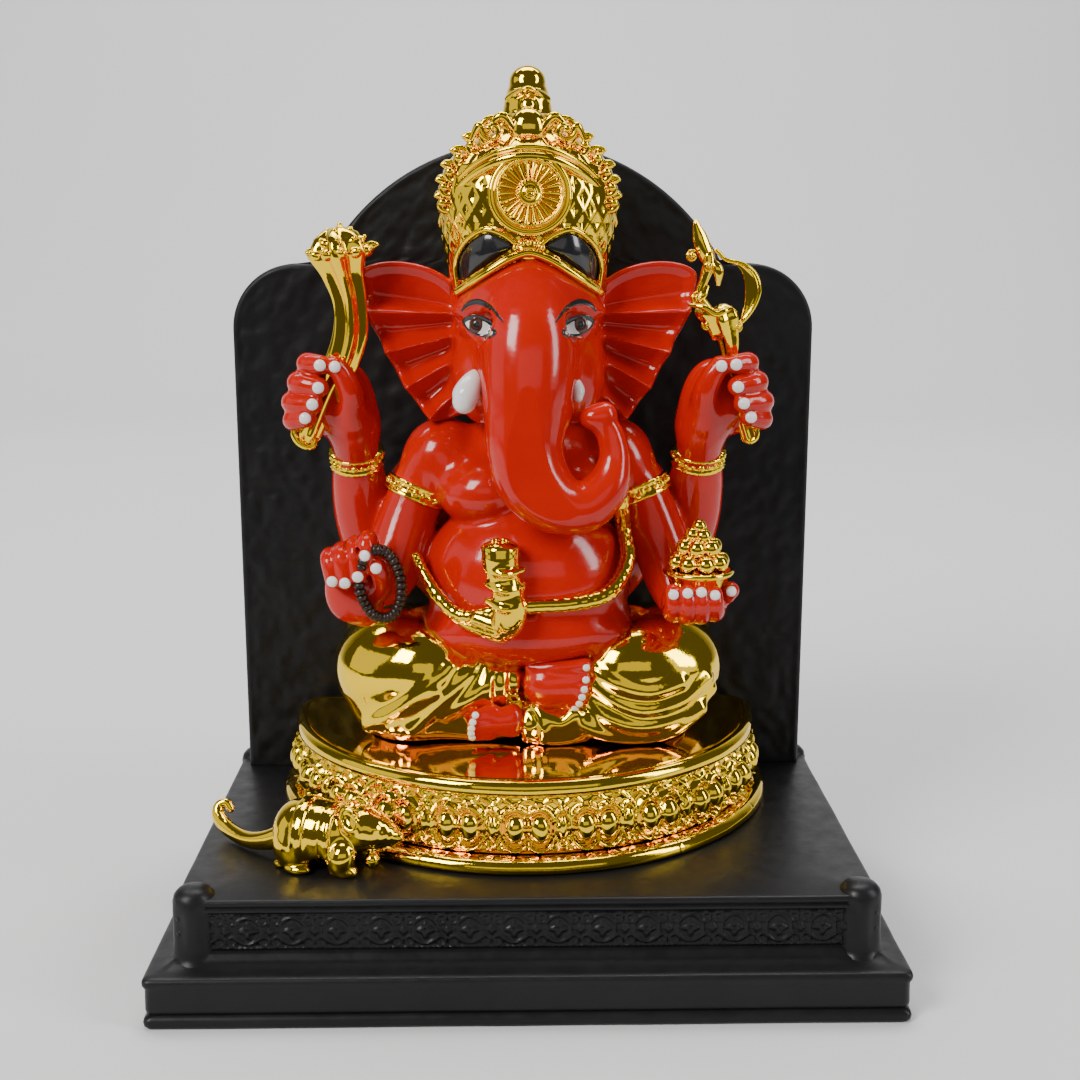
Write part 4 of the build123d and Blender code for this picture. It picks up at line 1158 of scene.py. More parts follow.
def crown_finial():
    """A bulb with lobes round its foot and a boss at the front, topped by a cap."""
    clay = Clay((-12, -3, 180), (12, 20, 201), 0.3)
    clay.press(egg((0, 8.5, 184.5), (8.2, 7, 4.6)))
    for side in (-1, 1):
        clay.press(egg((side * 3, 2.4, 186.6), (2.7, 2.4, 2.7)), 0.7)
        clay.press(egg((side * 6.2, 7, 186.6), (2.4, 3.4, 2.6)), 0.8)
    stalk = [(0, 8.2, 184, 6.2), (0, 8.2, 188.4, 5.7), (0, 8.4, 192, 5.1), (0, 8.8, 194.2, 4.2)]
    clay.press(rope(stalk), 1.2)
    clay.press(egg((0, 9, 196.2), (4.1, 4.1, 3.7)), 0.5)
    clay.press(rope([(-4.6, 6.2, 192.4, 0.55), (0, 2.6, 194.4, 0.6), (4.6, 6.2, 192.4, 0.55)]), 0.8)
    clay.press(rope([(-3.6, 3.4, 188.4, 0.5), (0, 1.6, 186.2, 0.5), (3.6, 3.4, 188.4, 0.5)]), 0.9, cut=True)
    clay.press(egg((0, 0.6, 185.6), (4.4, 3.6, 4.6)), 1)
    clay.press(egg((0, 3.2, 190.6), (2, 1.8, 2.2)), 0.8)
    clay.keep(lambda x, y, z: z - (top_z - 0.15))
    piece("crown_bulb", shift(clay.skin(4)), CROWN_GOLD, ("crown_finial",))


# ---- things held ----
def flower_stem():
    """A curved, fluted horn of stems that opens in a cluster of buds, with a loop below the fist."""
    shape = Shape()
    line = [(-50.6, 3.8, 118, 2.6), (-46.6, 3.2, 127, 3), (-42.4, 2.6, 134.4, 3.5), (-40.3, 2.2, 141, 3.7),
            (-40.2, 2, 148, 3.7), (-41.4, 1.8, 154, 4.5), (-42.2, 1.6, 158.4, 6.2)]
    shape.tube(curve(line, 60), sides=48, lobes=6, depth=0.17, twist=0.012, up=(0, 1, 0))
    heart_x, heart_y = -42.0, 1.6
    for ring, count, height in ((5.9, 11, 158.6), (4.2, 8, 160.8), (2.2, 5, 162.4), (0.0, 1, 163.4)):
        for k in range(count):
            a = 2 * math.pi * (k + 0.5 * (count % 2)) / count
            u, v = ring * math.cos(a), ring * math.sin(a)
            bud = np.array((heart_x + u, heart_y + v, height + 0.10 * u))
            away = unit((u, v, 3.0 + 0.4 * (6 - ring)))
            shape.ball(bud, (1.35, 1.6), 14, axis=away)
            shape.ball(bud + away * 1.5, (0.6, 0.7), 10, axis=away)
    for x, y, z, lean in ((-48.3, 0.5, 159.0, -1.0), (-34.4, 0.2, 160.4, 1.0)):
        leaf = [
            (x - lean * 3, y, z - 1.6, 1.5), (x - lean * 0.6, y, z, 1.1),
            (x + lean * 0.9, y - 0.6, z + 0.3, 0.35),
        ]
        shape.tube(curve(leaf, 12), sides=12, flat=0.6)
    loop = [
        (-51, 4, 120.4), (-53.2, 3.4, 120), (-53.9, 3, 117.8), (-52.6, 3, 115.6), (-50, 3.2, 114.8),
        (-49.2, 3.8, 117.4),
    ]
    shape.tube(loop_of(loop, 40, 0.75), sides=12, closed=True)
    piece("flower_stem_gold", shift(shape), GOLD, ("flower_stem",))


def axe_shaft(shape):
    """A ribbed shaft with a loop at its foot."""
    shaft = [
        (51.2, 4.4, 116.6, 1.5), (48.8, 4, 124, 1.5), (46.6, 3.6, 133, 1.5), (45.8, 3.2, 139, 2.2),
        (44.4, 3, 144, 3.4),
    ]
    shape.tube(curve(shaft, 40), sides=32, lobes=5, depth=0.16)
    loop = [(51, 3.8, 119.4), (52.8, 3.4, 118.6), (52.6, 3.4, 116.4), (50.8, 3.6, 115.8)]
    shape.tube(loop_of(loop, 28, 0.62), sides=10, closed=True)


def axe_spear(shape):
    """A spear tip on a curved neck, with scrolls and two leaves."""
    tip = [
        (40.6, 3, 157.6, 1.5), (39.4, 3, 160, 1.7), (38.6, 3, 162.4, 1.5), (37.8, 3, 165, 0.7),
        (37.6, 3, 166.1, 0.2),
    ]
    shape.tube(curve(tip, 24), sides=20, flat=0.6, lobes=4, depth=0.1)
    neck = [
        (41, 3.2, 146, 1.1), (38.8, 3, 149.4, 1), (39.8, 3, 152.6, 1.1), (40.8, 3, 156, 1.5),
        (40.8, 3, 158, 1.4),
    ]
    shape.tube(curve(neck, 28), sides=16)
    scrolls = (
        (36.9, 158.0, 1.3, 1), (40.6, 155.8, 1.3, -1), (38.2, 148.6, 1.3, 1), (47.2, 142.2, 1.4, -1),
        (40.6, 142.6, 1.3, 1),
    )
    for x, z, size, spin in scrolls:
        scroll(shape, (x, z), size, 1.2, 1.1, 0.5, 2.2, spin)
    for leaf in (
        [(41, 2.6, 157.6, 0.5), (42.8, 1.8, 155, 1.2), (43, 2.2, 151.8, 0.5)],
        [(40.6, 2.4, 151.2, 0.4), (39.4, 1.8, 149.2, 0.9), (37.4, 2.2, 147.2, 0.5)],
    ):
        shape.tube(curve(leaf, 16), sides=12, flat=0.6)


def axe_blade(shape):
    """A crescent blade, hollowed between its edges, and the rounded back that joins it to the spear."""
    outer = curve([
        (47.2, 156.6), (49.1, 155.9), (51.1, 154.3), (52.2, 152), (52.3, 149.4), (50.9, 146.1), (48.6, 143.4),
    ], 50)
    inner = curve([
        (47, 156.2), (48.4, 154.2), (49, 151.6), (49.1, 148.8), (48.8, 146.2), (48.4, 144.4), (48.2, 143.2),
    ], 50)
    rows = []
    for share, depth in (
        (0, 2.9), (0.12, 2.2), (0.2, 2.4), (0.5, 2.7), (0.9, 2.4), (1, 3.0), (0.9, 3.7), (0.5, 3.9),
        (0.1, 3.7),
    ):
        line = outer + (inner - outer) * share
        rows.append(np.column_stack([line[:, 0], np.full(50, depth), line[:, 1]]))
    shape.skin(np.stack(rows, 1))
    arc = [
        (42.4, 3, 159.3, 0.5), (43.2, 3, 158.6, 0.5), (44.7, 3, 157.2, 0.5), (47.2, 3, 156.6, 0.55),
        (49.1, 3, 155.9, 0.6), (51.1, 3, 154.3, 0.6), (52.2, 3, 152, 0.6), (52.3, 3, 149.4, 0.55),
        (50.9, 3, 146.1, 0.55), (48.6, 2.8, 143.4, 0.55), (46.6, 2.4, 142.8, 0.5),
    ]
    shape.tube(curve(arc, 70), sides=12)


def axe_calyx(shape):
    """A wavy cup on top of the shaft, with a ribbon across its front."""
    turn = np.linspace(0, 2 * math.pi, 47, endpoint=False)
    cup = []
    for radius, height in (
        (1.4, 139.2), (1.9, 140.6), (3.0, 142.4), (3.7, 144.2), (4.2, 145.6), (3.9, 146.0), (3.2, 145.0),
        (1.4, 143.0),
    ):
        x = 43.0 - 0.16 * (height - 140) * 1.2 + radius * np.cos(turn)
        y = 3.0 + radius * 0.75 * np.sin(turn)
        lift = 0.5 * np.sin(turn * 3 + 0.6) * smooth(141, 146, height)
        cup.append(np.column_stack([x, y, height + lift]))
    shape.skin(cup)
    wave = [
        (36.6, 1.8, 147.1, 0.4), (39.6, 0.4, 146.7, 0.7), (42.3, -0.2, 145.2, 0.75), (44.2, 0.2, 145.9, 0.75),
        (45.9, 1.2, 146.4, 0.4),
    ]
    shape.tube(curve(wave, 30), sides=12)


def axe():
    shape = Shape()
    for part in (axe_shaft, axe_spear, axe_blade, axe_calyx):
        part(shape)
    piece("axe_gold", shift(shape), GOLD, ("axe_head", "axe_shaft"))


def rosary():
    """A string of dark beads hanging from finger and thumb."""
    shape = Shape()
    heart_x, heart_z, half_x, half_z = -33.4, 85.9, 4.7, 8.2
    lean = np.radians(np.linspace(-80, 80, 8))
    profile = [(1.32 * math.cos(t), 0.92 * math.sin(t)) for t in lean]

    def nubs(angle, row):
        return 0.09 * np.cos(angle * 5 + row * 2.1)

    count = 34
    for k in range(count):
        a = 2 * math.pi * k / count
        x = heart_x + half_x * math.cos(a) - 0.056 * half_z * math.sin(a)
        y = -13.4 + 2.2 * max(0, -math.sin(a)) + 0.3 * math.sin(7 * a)
        z = heart_z + half_z * math.sin(a)
        along = (-half_x * math.sin(a), 0, half_z * math.cos(a))
        shape.turned(profile, (x, y, z), along, 14, nubs)
    piece("rosary_beads", shift(shape), BROWN, ("rosary",))


def offering():
    """A wide gold bowl with a pyramid of round sweets."""
    bowl, sweets = Shape(), Shape()
    x, y, z = 38.4, -9.4, 86.4
    profile = [
        (1.5, -4.6), (3.2, -4.2), (5.2, -2.8), (6.6, -1), (7.3, 0.7), (7.9, 1.1), (8.1, 1.7), (7.6, 2.3),
        (6.9, 1.8), (6.2, 1.2), (3, 0.8), (0.3, 0.7),
    ]

    def ribs(angle, row):
        return 0.12 * np.cos(angle * 18) * ((row > 1) & (row < 4))

    bowl.turned(profile, (x, y, z), (0, 0, 1), 72, ribs)
    piece("offering_bowl", shift(bowl), GOLD, ("sweet_bowl",))
    layers = (
        (8, 5.1, 90.2, 2.15), (3, 1.8, 90.6, 2.2), (6, 3.4, 93.6, 2.1), (3, 1.5, 96.2, 1.9),
        (1, 0.0, 98.2, 1.7),
    )
    for count, ring, height, radius in layers:
        for k in range(count):
            a = 2 * math.pi * (k + 0.25 + 0.5 * (count == 6)) / count - math.pi / 2
            sweets.ball((x + ring * math.cos(a), y + ring * math.sin(a), height), (radius, radius * 1.04), 20)
    piece("sweets_pile", shift(sweets), GOLD, ("sweets",))


# ---- ornaments on the body ----
def snake_body(shape):
    """A thin scaled snake round the belly and over the shoulder."""
    points = [
        (-26, 90), (-24, 86.6), (-20.6, 82), (-16, 78.4), (-11, 78.8), (-5.6, 80.6), (1, 81.2), (9, 81.4),
        (16.4, 82.4), (20.6, 85.8), (22.6, 90.6), (22, 96), (21, 102), (20, 107), (18.4, 112.5),
    ]
    line = [(x, min(body.front(x, z), body.front(0.86 * x, z)) - 0.8, z, 1.5) for x, z in points]
    path = curve(line, 150)
    count = np.arange(150)
    scales = 1 + 0.07 * np.cos(count * 1.9)
    path[:, 3] *= scales * np.interp(count, (0, 20, 60, 149), (0.8, 1.0, 1.15, 1.25))
    shape.tube(path, sides=20, flat=0.85)


def snake_hood(shape):
    """The snake's ringed, hollow-topped neck raised at the front, with a leaf beside it."""
    clay = Clay((-20, -32, 70), (2, -4, 99), 0.3)
    y = body.front(-6, 84)
    clay.press(rope([
        (-11.5, y + 0.6, 78, 2.2), (-6, y - 1, 76.6, 3.4), (-4.4, y - 2.6, 80, 3.9),
        (-4.8, y - 3.2, 84.6, 3.6), (-6, y - 2.6, 89, 3.7), (-6.5, y - 2.4, 92.6, 4.2),
    ], 0.8))
    for z, tilt in ((82.6, 0.6), (86.6, 0.4), (90.4, 0.2)):
        left, front = (-9.4, y - 3.4, z + tilt, 0.7), (-5.6, y - 6.8, z - 0.6, 0.75)
        ring = [left, front, (-1.6, y - 3.4, z - tilt, 0.7)]
        clay.press(rope(ring), 0.9)
    clay.press(egg((-6.5, y - 2, 94.8), (4.3, 4.1, 1.9)), 0.8)
    clay.press(egg((-6.5, y - 2, 97.2), (2.9, 2.8, 1.3)), 0.5, cut=True)
    leaf = [
        (-19.6, body.front(-18, 78, -0.6), 78.6, 0.5), (-15.5, body.front(-15, 77, -0.8), 77.4, 1.7),
        (-11, body.front(-11, 76, -1.2), 76.2, 2.2), (-6.6, y - 1.6, 75.4, 2.4),
    ]
    clay.press(rope(leaf, 0.9, flat=0.8), 1.0)
    vein = [
        (-18.6, body.front(-18, 78, -1.2), 78.4, 0.35), (-13, body.front(-13, 77, -3), 77, 0.45),
        (-8, y - 4, 76, 0.4),
    ]
    clay.press(rope(vein), 0.6, cut=True)
    hood = clay.skin(4)
    shape.add(np.vstack(hood.points), hood.faces)
    for k in range(6):
        a = k * math.pi / 3
        shape.ball((-6.5 + 1.5 * math.cos(a), y - 2.0 + 1.5 * math.sin(a), 96.3), (0.6, 0.6), 10)


def snake_thread():
    """The sacred thread, in the form of a snake."""
    shape = Shape()
    snake_body(shape)
    snake_hood(shape)
    piece("snake_thread_gold", shift(shape), GOLD, ("thread_snake", "snake_hood"))


def band(shape, centre, axis, radius, width, beads):
    """A bangle: a waisted strap between two corded edges, with studs between."""
    side, over = frame_of(axis)
    axis = unit(axis)
    half = width / 2
    lower = [(radius + out, -half * share) for out, share in ((-1.2, 1), (0.5, 1), (0.8, 0.75), (0.25, 0.5))]
    profile = lower + [(out, -height) for out, height in lower[::-1]]

    def cord(angle, row):
        return 0.12 * np.cos(angle * 26 + row) * ((row == 2) | (row == 5))

    shape.turned(profile, centre, axis, 104, cord)
    for k in range(beads):
        a = 2 * math.pi * k / beads
        out = math.cos(a) * side + math.sin(a) * over
        size, rise = (0.95, 0.9) if k % 3 == 0 else (0.6, 0.6)
        shape.dome(np.array(centre) + out * (radius + 0.2), out, size, rise, 12)


def bangles():
    arms, wrists = Shape(), Shape()
    for side in (-1, 1):
        band(arms, (side * 26.0, 6.8, 103.8), (side * 0.42, -0.1, -1), 6.9, 3.6, 24)
        band(wrists, (side * 40.4, 10.9, 111.4), (side * 0.02, -0.42, 1), 5.7, 4.0, 21)
    piece("armlets_gold", shift(arms), GOLD, ("armlets",))
    piece("bracelets_gold", shift(wrists), GOLD, ("bracelets",))


crown_body()
crown_crest()
crown_rosette()
brow_band()
leaf_panels()
crown_finial()
flower_stem()
axe()
rosary()
offering()
snake_thread()
bangles()


# ---- pedestal ----
PEDESTAL_Y = foot_high[1] - 11.1            # centre of the round front
FOOT_RADIUS = foot_high[0]
BACK_CORNER = 11.0


def lumps(a, b, size, seed):
    """Smooth unevenness from -1 to 1 over a surface, as casting and hammering leave it."""
    size_of_table = 64
    table = np.random.default_rng(seed).uniform(-1, 1, (size_of_table, size_of_table))
    a, b = np.broadcast_arrays(np.asarray(a, float) / size, np.asarray(b, float) / size)
    i, j = np.floor(a).astype(int), np.floor(b).astype(int)
    s, t = a - i, b - j
    s, t = s * s * (3 - 2 * s), t * t * (3 - 2 * t)

    def corner(right, up):
        return table[(i + right) % size_of_table, (j + up) % size_of_table]

    low = corner(0, 0) * (1 - s) + corner(1, 0) * s
    high = corner(0, 1) * (1 - s) + corner(1, 1) * s
    return low * (1 - t) + high * t


def d_line(step):
    """The pedestal's outline at the foot: places, outward directions and distance round from the front."""
    radius, back = FOOT_RADIUS, foot_high[1]
    corner_x, corner_y = radius - BACK_CORNER, back - BACK_CORNER
    places, outs = [], []

    def turn_corner(x, start):
        for a in np.arange(start, start + math.pi / 2, step / BACK_CORNER):
            places.append((x + BACK_CORNER * math.cos(a), corner_y + BACK_CORNER * math.sin(a)))
            outs.append((math.cos(a), math.sin(a)))

    for a in np.arange(-math.pi / 2, math.pi / 2, step / radius):
        places.append((radius * math.sin(a), PEDESTAL_Y - radius * math.cos(a)))
        outs.append((math.sin(a), -math.cos(a)))
    turn_corner(corner_x, 0)
    for x in np.arange(corner_x, -corner_x, -step):
        places.append((x, back))
        outs.append((0, 1))
    turn_corner(-corner_x, math.pi / 2)
    places, outs = np.array(places), np.array(outs)
    return places, outs, distances(places) - radius * math.pi / 2


def d_rows(line, profile, relief=None):
    """Rows of points round the pedestal.

    profile holds (radius, height) and relief(run, height) adds to the radius.
    """
    places, outs, run = line
    rows = []
    for radius, height in profile:
        inset = FOOT_RADIUS - radius - (0 if relief is None else relief(run, height))
        flat = places - outs * np.broadcast_to(inset, (len(places),))[:, None]
        rows.append(at_height(flat, height))
    return rows


def boss(u, v, half_u, half_v):
    """A dome and a raised frame round it: their heights at (u, v) from the middle."""
    d = np.sqrt((u / half_u) ** 2 + (v / half_v) ** 2)
    return np.sqrt(np.clip(1 - (d / 0.84) ** 2, 0, 1)), ridge(d, 1.10, 0.13)


def lotus_relief(run, height):
    """Two-lobed bosses and narrow ones in turn, each in its own frame between upright ribs."""
    period = 16.6
    uneven = 1 + 0.10 * lumps(run, height, 5.0, 3)
    big = (run + period / 2) % period - period / 2
    small = run % period - period / 2
    middle_z, half_u, half_v, lobe = 35.5, 3.5, 4.4, 2.8
    v = height - middle_z
    left = boss(big + lobe, v, half_u, half_v)
    right = boss(big - lobe, v, half_u, half_v)
    narrow = boss(small, v - 0.2, 1.7, 4.0)
    dome = 3.0 * np.maximum(np.maximum(left[0], right[0]), 0.75 * narrow[0])
    clear = [smooth(1.0, 1.25, np.hypot((big + at) / half_u, v / half_v)) for at in (lobe, -lobe)]
    frame = np.maximum(np.maximum(left[1] * clear[1], right[1] * clear[0]), narrow[1])
    caps = 1.1 * ridge(height - 41.5, 0.7 * np.cos(big * 1.1), 0.5) * (0.75 + 0.25 * np.cos(run * 2.6))
    ledge = 0.9 * ridge(height, 30.6, 0.5) * (0.8 + 0.2 * np.cos(run * 2.2))
    return (dome + 1.5 * frame + 0.7 * caps + 0.7 * ledge) * uneven + 0.10 * lumps(run, height, 1.8, 4)


BAND_LOW, BAND_HIGH, INNER = 29.3, 43.0, 53.0    # the lotus band's edges, and how deep its back lies


def foot_moulding(line):
    """A rounded ledge with the casting's fine parting lines."""
    base = plinth_high[2]
    foot = [
        (INNER, base), (58.8, base), (59.9, base + 0.15), (60.4, base + 0.7), (60.5, base + 1.4),
        (60.3, base + 2.1), (59.8, base + 2.8), (59, base + 3.25), (58, base + 3.4), (INNER, base + 3.4),
    ]

    def uneven(run, height):
        return 0.10 * lumps(run, height, 6.0, 11) - 0.1 * (np.abs((run + 9) % 31 - 15) < 0.25)

    shape = Shape().skin(d_rows(line, foot + foot[:1], uneven), ends=False)
    piece("pedestal_foot_moulding", shape, GOLD, ("pedestal_foot_rim",))


def lotus_band(line):
    """The wall between the mouldings, with the bosses in relief on it."""
    face = [(56.0, z) for z in np.arange(BAND_LOW + 0.3, BAND_HIGH - 0.3, 0.27)]
    wall = [(INNER, BAND_LOW), (55.6, BAND_LOW)] + face + [(55.6, BAND_HIGH), (INNER, BAND_HIGH)]

    def cast(run, height):
        return lotus_relief(run, height) if BAND_LOW + 0.2 < height < BAND_HIGH - 0.2 else 0 * run

    shape = Shape().skin(d_rows(line, wall + wall[:1], cast), ends=False)
    piece("pedestal_lotus_band", shape, GOLD, ("pedestal_lotus_panels", "pedestal_neck_ribs"))


def top_moulding(line):
    rim = [
        (INNER, 42.7), (55.6, 42.7), (56.6, 42.9), (57.1, 43.5), (57.2, 44.3), (57, 45.3), (56.4, 46.1),
        (55.4, 46.45), (54.6, 46.2), (54, 45.6), (INNER, 45.4),
    ]

    def uneven(run, height):
        return 0.08 * lumps(run, height, 7.0, 12)

    shape = Shape().skin(d_rows(line, rim + rim[:1], uneven), ends=False)
    piece("pedestal_top_moulding", shape, GOLD, ("pedestal_top_rim",))


def mirror_top():
    """The flat top, which mirrors the figure's legs."""
    shape = Shape()
    places, outs, _ = d_line(1.6)
    under, face = seat_z - 2.0, seat_z - 0.1
    heart = np.array((0.0, 2.0))
    rows = []
    rings = [(0.55, under), (1, under)] + [(s, face) for s in (1, 0.97, 0.9, 0.8, 0.65, 0.45, 0.25, 0.05)]
    for share, height in rings:
        flat = heart + (places - outs * (FOOT_RADIUS - 54.2) - heart) * share
        wave = (height == face) * 0.05 * lumps(flat[:, 0], flat[:, 1], 16.0, 5)
        rows.append(at_height(flat, height + wave))
    shape.skin(rows)
    piece("pedestal_mirror_top", shape, GOLD, ("pedestal_top",), sharp=50)


# ---- plinth, posts and backdrop ----
def rounded_box(inset, step, corner=1.6):
    """A rounded rectangle inset from the plinth's outline, with the same count of points at any inset."""
    half_x, half_y = plinth_high[0] - inset, plinth_high[1] - inset
    long_x, long_y = np.arange(-1, 1, step / plinth_high[0]), np.arange(-1, 1, step / plinth_high[1])
    bend = np.radians(np.linspace(0, 90, 7))[:-1]
    places = []
    for c, s in ((1, 0), (0, 1), (-1, 0), (0, -1)):
        wide, deep, along = (half_x, half_y, long_x) if s == 0 else (half_y, half_x, long_y)
        side = [(t * (wide - corner), -deep) for t in along]
        side += [(wide - corner + corner * math.sin(a), -deep + corner - corner * math.cos(a)) for a in bend]
        places += [(c * x - s * y, s * x + c * y) for x, y in side]
    return np.array(places)


def frieze_relief(run, height):
    """Ringed rosettes and lozenges between two corded lines."""
    period = 9.4
    u = (run + period / 2) % period - period / 2
    middle_z = 18.8
    v = (height - middle_z) * 0.92
    r, angle = np.hypot(u, v), np.arctan2(v, u)
    ring = 0.55 * ridge(r, 2.75, 0.34)
    rose = 0.65 * smooth(2.0, 0.9, r * (1.15 - 0.35 * np.cos(4 * angle))) - 0.4 * smooth(0.7, 0.3, r)
    lozenge = 0.6 * smooth(1.5, 0.9, np.abs(np.abs(u) - period / 2) * 1.3 + np.abs(v))
    curls = 0.45 * ridge(np.hypot(np.abs(u) - 3.4, np.abs(v) - 2.2), 0.9, 0.22)
    cords = 0.42 * ridge(np.abs(v), 3.5, 0.26) * (1 + 0.35 * np.cos(run * 5.2))
    wear = 0.85 + 0.3 * lumps(run, height, 8.0, 21)
    return (ring + rose + lozenge + curls + cords) * wear


def plinth():
    """A moulded slab, a cove, a frieze and a flat top, hollow underneath."""
    step, frieze_inset, drawn_top = 0.42, 7.0, 26.0
    run = distances(rounded_box(frieze_inset, step)) + 4.7 - (plinth_high[0] - frieze_inset)
    top = plinth_high[2]
    profile = [
        (53.8, 22), (7.7, 22), (7.7, 0), (1.6, 0), (0.55, 0.15), (0.12, 0.7), (0, 1.5), (0.2, 2.3),
        (0.75, 2.75), (1.15, 3), (0.95, 3.35), (0.55, 3.7), (0.45, 4.4), (0.5, 8.6), (0.3, 9.2), (0.05, 9.7),
        (0, 10.4), (0.2, 11), (0.8, 11.35), (1.8, 11.5), (3.4, 11.75), (4.9, 12.3), (6, 13), (6.5, 13.8),
        (7, 14.1), (7.35, 14.3),
    ]
    profile += [(7.35, z) for z in np.arange(14.5, 23.1, 0.27)]
    profile += [
        (6.9, 23.2), (6.45, 23.35), (6.35, 23.9), (6.75, 24.2), (6.6, 24.5), (6.35, 24.9), (6.3, 25.4),
        (6.6, 25.85), (7.2, 26.0),
    ]
    profile = [(inset, height * top / drawn_top) for inset, height in profile]
    profile += [(20, top), (40, top), (53.8, top)]
    rows = []
    for inset, height in profile:
        relief = frieze_relief(run, height) if 14.4 < height < 23.1 and inset < 8 else 0 * run
        uneven = 0.07 * lumps(run, height, 9.0, 31) if 0 < height < top and inset < 7.7 else 0 * run
        out = rounded_box(inset, step) - rounded_box(inset + 1, step)
        flat = rounded_box(inset, step) + out * (relief + uneven - 0.08)[:, None]
        rows.append(at_height(flat, height))
    shape = Shape().skin(rows, ends=False)
    piece("moulded_plinth", shape, SATIN_BLACK, ("plinth",), sharp=60)


def corner_posts():
    """A domed post at each corner that sweeps out to the slab below."""
    shape = Shape()
    high = box("corner_posts")[1]
    x, y = high[0] - 5.2, high[1] - 5.2
    profile = [
        (6.2, 11.4), (5.9, 11.9), (5.2, 12.6), (4.8, 13.6), (4.6, 15.2), (4.5, 17), (4.5, 19), (4.5, 21),
        (4.55, 23), (4.6, 25), (4.2, 26.4), (3.3, 27.4), (2, 27.95), (0.3, 28.1),
    ]

    def leaves(angle, row):
        return 0.22 * np.cos(angle * 6) * ((row > 3) & (row < 9)) + 0.05 * np.sin(angle * 3 + row)

    for side_x in (-1, 1):
        for side_y in (-1, 1):
            shape.turned(profile, (side_x * x, side_y * y, 0), (0, 0, 1), 48, leaves)
            for drop in (18.6, 22.0):
                for k in (-1, 0, 1):
                    a = math.atan2(side_y, side_x) + k * 0.8
                    out = np.array((math.cos(a), math.sin(a), 0))
                    shape.dome(np.array((side_x * x, side_y * y, drop)) + 3.9 * out, out, 0.95, 0.7, 12)
    piece("domed_corner_posts", shape, SATIN_BLACK, ("corner_posts",))


def backdrop():
    """A thick board with rounded shoulders and an arched head, hammered all over."""
    half, top = panel_high[0], panel_high[2]
    arch, bend = 55.5, 16.0
    arch_z = top - arch
    shoulder = arch_z + 26.0
    corner_x, corner_z = half - bend, shoulder - bend
    outline = [(half, plinth_high[2] - 1), (half, corner_z)]
    turn = np.radians(np.linspace(0, 90, 14)[1:])
    outline += [(corner_x + bend * math.cos(a), corner_z + bend * math.sin(a)) for a in turn]
    start = math.asin((shoulder - arch_z) / arch)
    turn = np.linspace(start, math.pi / 2 - 0.01, 40)
    outline += [(arch * math.cos(a), arch_z + arch * math.sin(a)) for a in turn]
    edge = np.array(outline + [(-x, z) for x, z in outline[::-1]])
    heights = list(np.arange(plinth_high[2] - 0.5, corner_z, 0.9))
    heights += [corner_z + bend * math.sin(a) for a in np.radians(np.linspace(0, 90, 22))]
    heights += [arch_z + arch * math.sin(a) for a in np.linspace(start, math.pi / 2, 56)[1:]]
    share = np.linspace(-1, 1, 190)
    share = np.sign(share) * (1 - (1 - np.abs(share)) ** 1.5)
    front, back, rounding = panel_low[1], panel_high[1], 1.3
    rows = []
    for z in heights:
        if z <= corner_z:
            wide = half
        elif z <= shoulder + 0.001:
            wide = corner_x + math.sqrt(max(0, bend**2 - (z - corner_z) ** 2))
        else:
            wide = math.sqrt(max(0.0004, arch**2 - (z - arch_z) ** 2))
        x = share * wide
        inside = -outline_distance(x, np.full(len(x), z), edge)
        within = np.clip(rounding - inside, 0, rounding)
        round_off = rounding - np.sqrt(np.clip(rounding**2 - within**2, 0, None))
        dent = 0.26 * lumps(x + 0.8 * lumps(x, z, 6, 2), z, 3.0, 8) + 0.16 * lumps(x, z, 1.7, 9)
        dent = (dent - 0.25) * smooth(0.2, 2.5, inside)
        near = np.column_stack([x, front + round_off - dent - 0.04, np.full(len(x), z)])
        far = np.column_stack([x, back - round_off + dent, np.full(len(x), z)])
        rows.append(np.vstack([near, far[::-1]]))
    shape = Shape().skin(rows)
    piece("hammered_backdrop", shape, PANEL_BLACK, ("backdrop_panel",))


# ---- mouse ----
def mouse_body(clay):
    """A plump body with haunches, paws and feet; x points to the nose and z = 0 is mid-height."""
    clay.press(egg((-0.4, 0, 0.2), (9.6, 7.2, 7.3)))
    clay.press(egg((-5.2, 0, 0), (5.6, 7, 6.9)), 2)
    for side in (-1, 1):
        clay.press(egg((-4.6, side * 5, -2.6), (4.6, 3, 4.2)), 1.4)
        clay.press(egg((6.6, side * 4.6, -3.6), (3.3, 3.2, 4.2), (0, 18, 0)), 1.2)
        clay.press(egg((8, side * 4.8, -6.2), (2.6, 2, 1.4)), 0.8)
        clay.press(egg((-3, side * 6.4, -6.3), (3.2, 1.8, 1.2)), 0.8)
        clay.press(egg((-8, side * 4.2, -6.4), (1.6, 1.6, 1)), 0.8)


def mouse_head(clay):
    clay.press(egg((10.4, 0, 2.2), (5.2, 4.6, 4.6), (0, 8, 0)), 2)
    snout = [(11, 0, 2.4, 4.6), (14, 0.3, 1.7, 3.5), (16.4, 0.5, 1, 2.1), (17.8, 0.6, 0.8, 1.2)]
    clay.press(rope(snout), 1.6)
    clay.press(egg((18.4, 0.6, 0.9), (1, 1.2, 1)), 0.3)
    for side in (-1, 1):
        clay.press(egg((8, side * 3.6, 5.4), (2.5, 1.1, 3.3), (side * 24, -38, 0)), 0.8)
        clay.press(egg((8.8, side * 4.5, 5.6), (1.5, 0.7, 2.1), (side * 24, -38, 0)), 0.6, cut=True)
        clay.press(egg((14, side * 2.9, 3.5), (1, 0.8, 0.9)), 0.3)
        mouth = [(18.6, side * 1.2, 0.1, 0.3), (13.6, side * 3, -0.6, 0.35), (11, side * 4.2, -0.4, 0.3)]
        clay.press(rope(mouth), 0.6, cut=True)


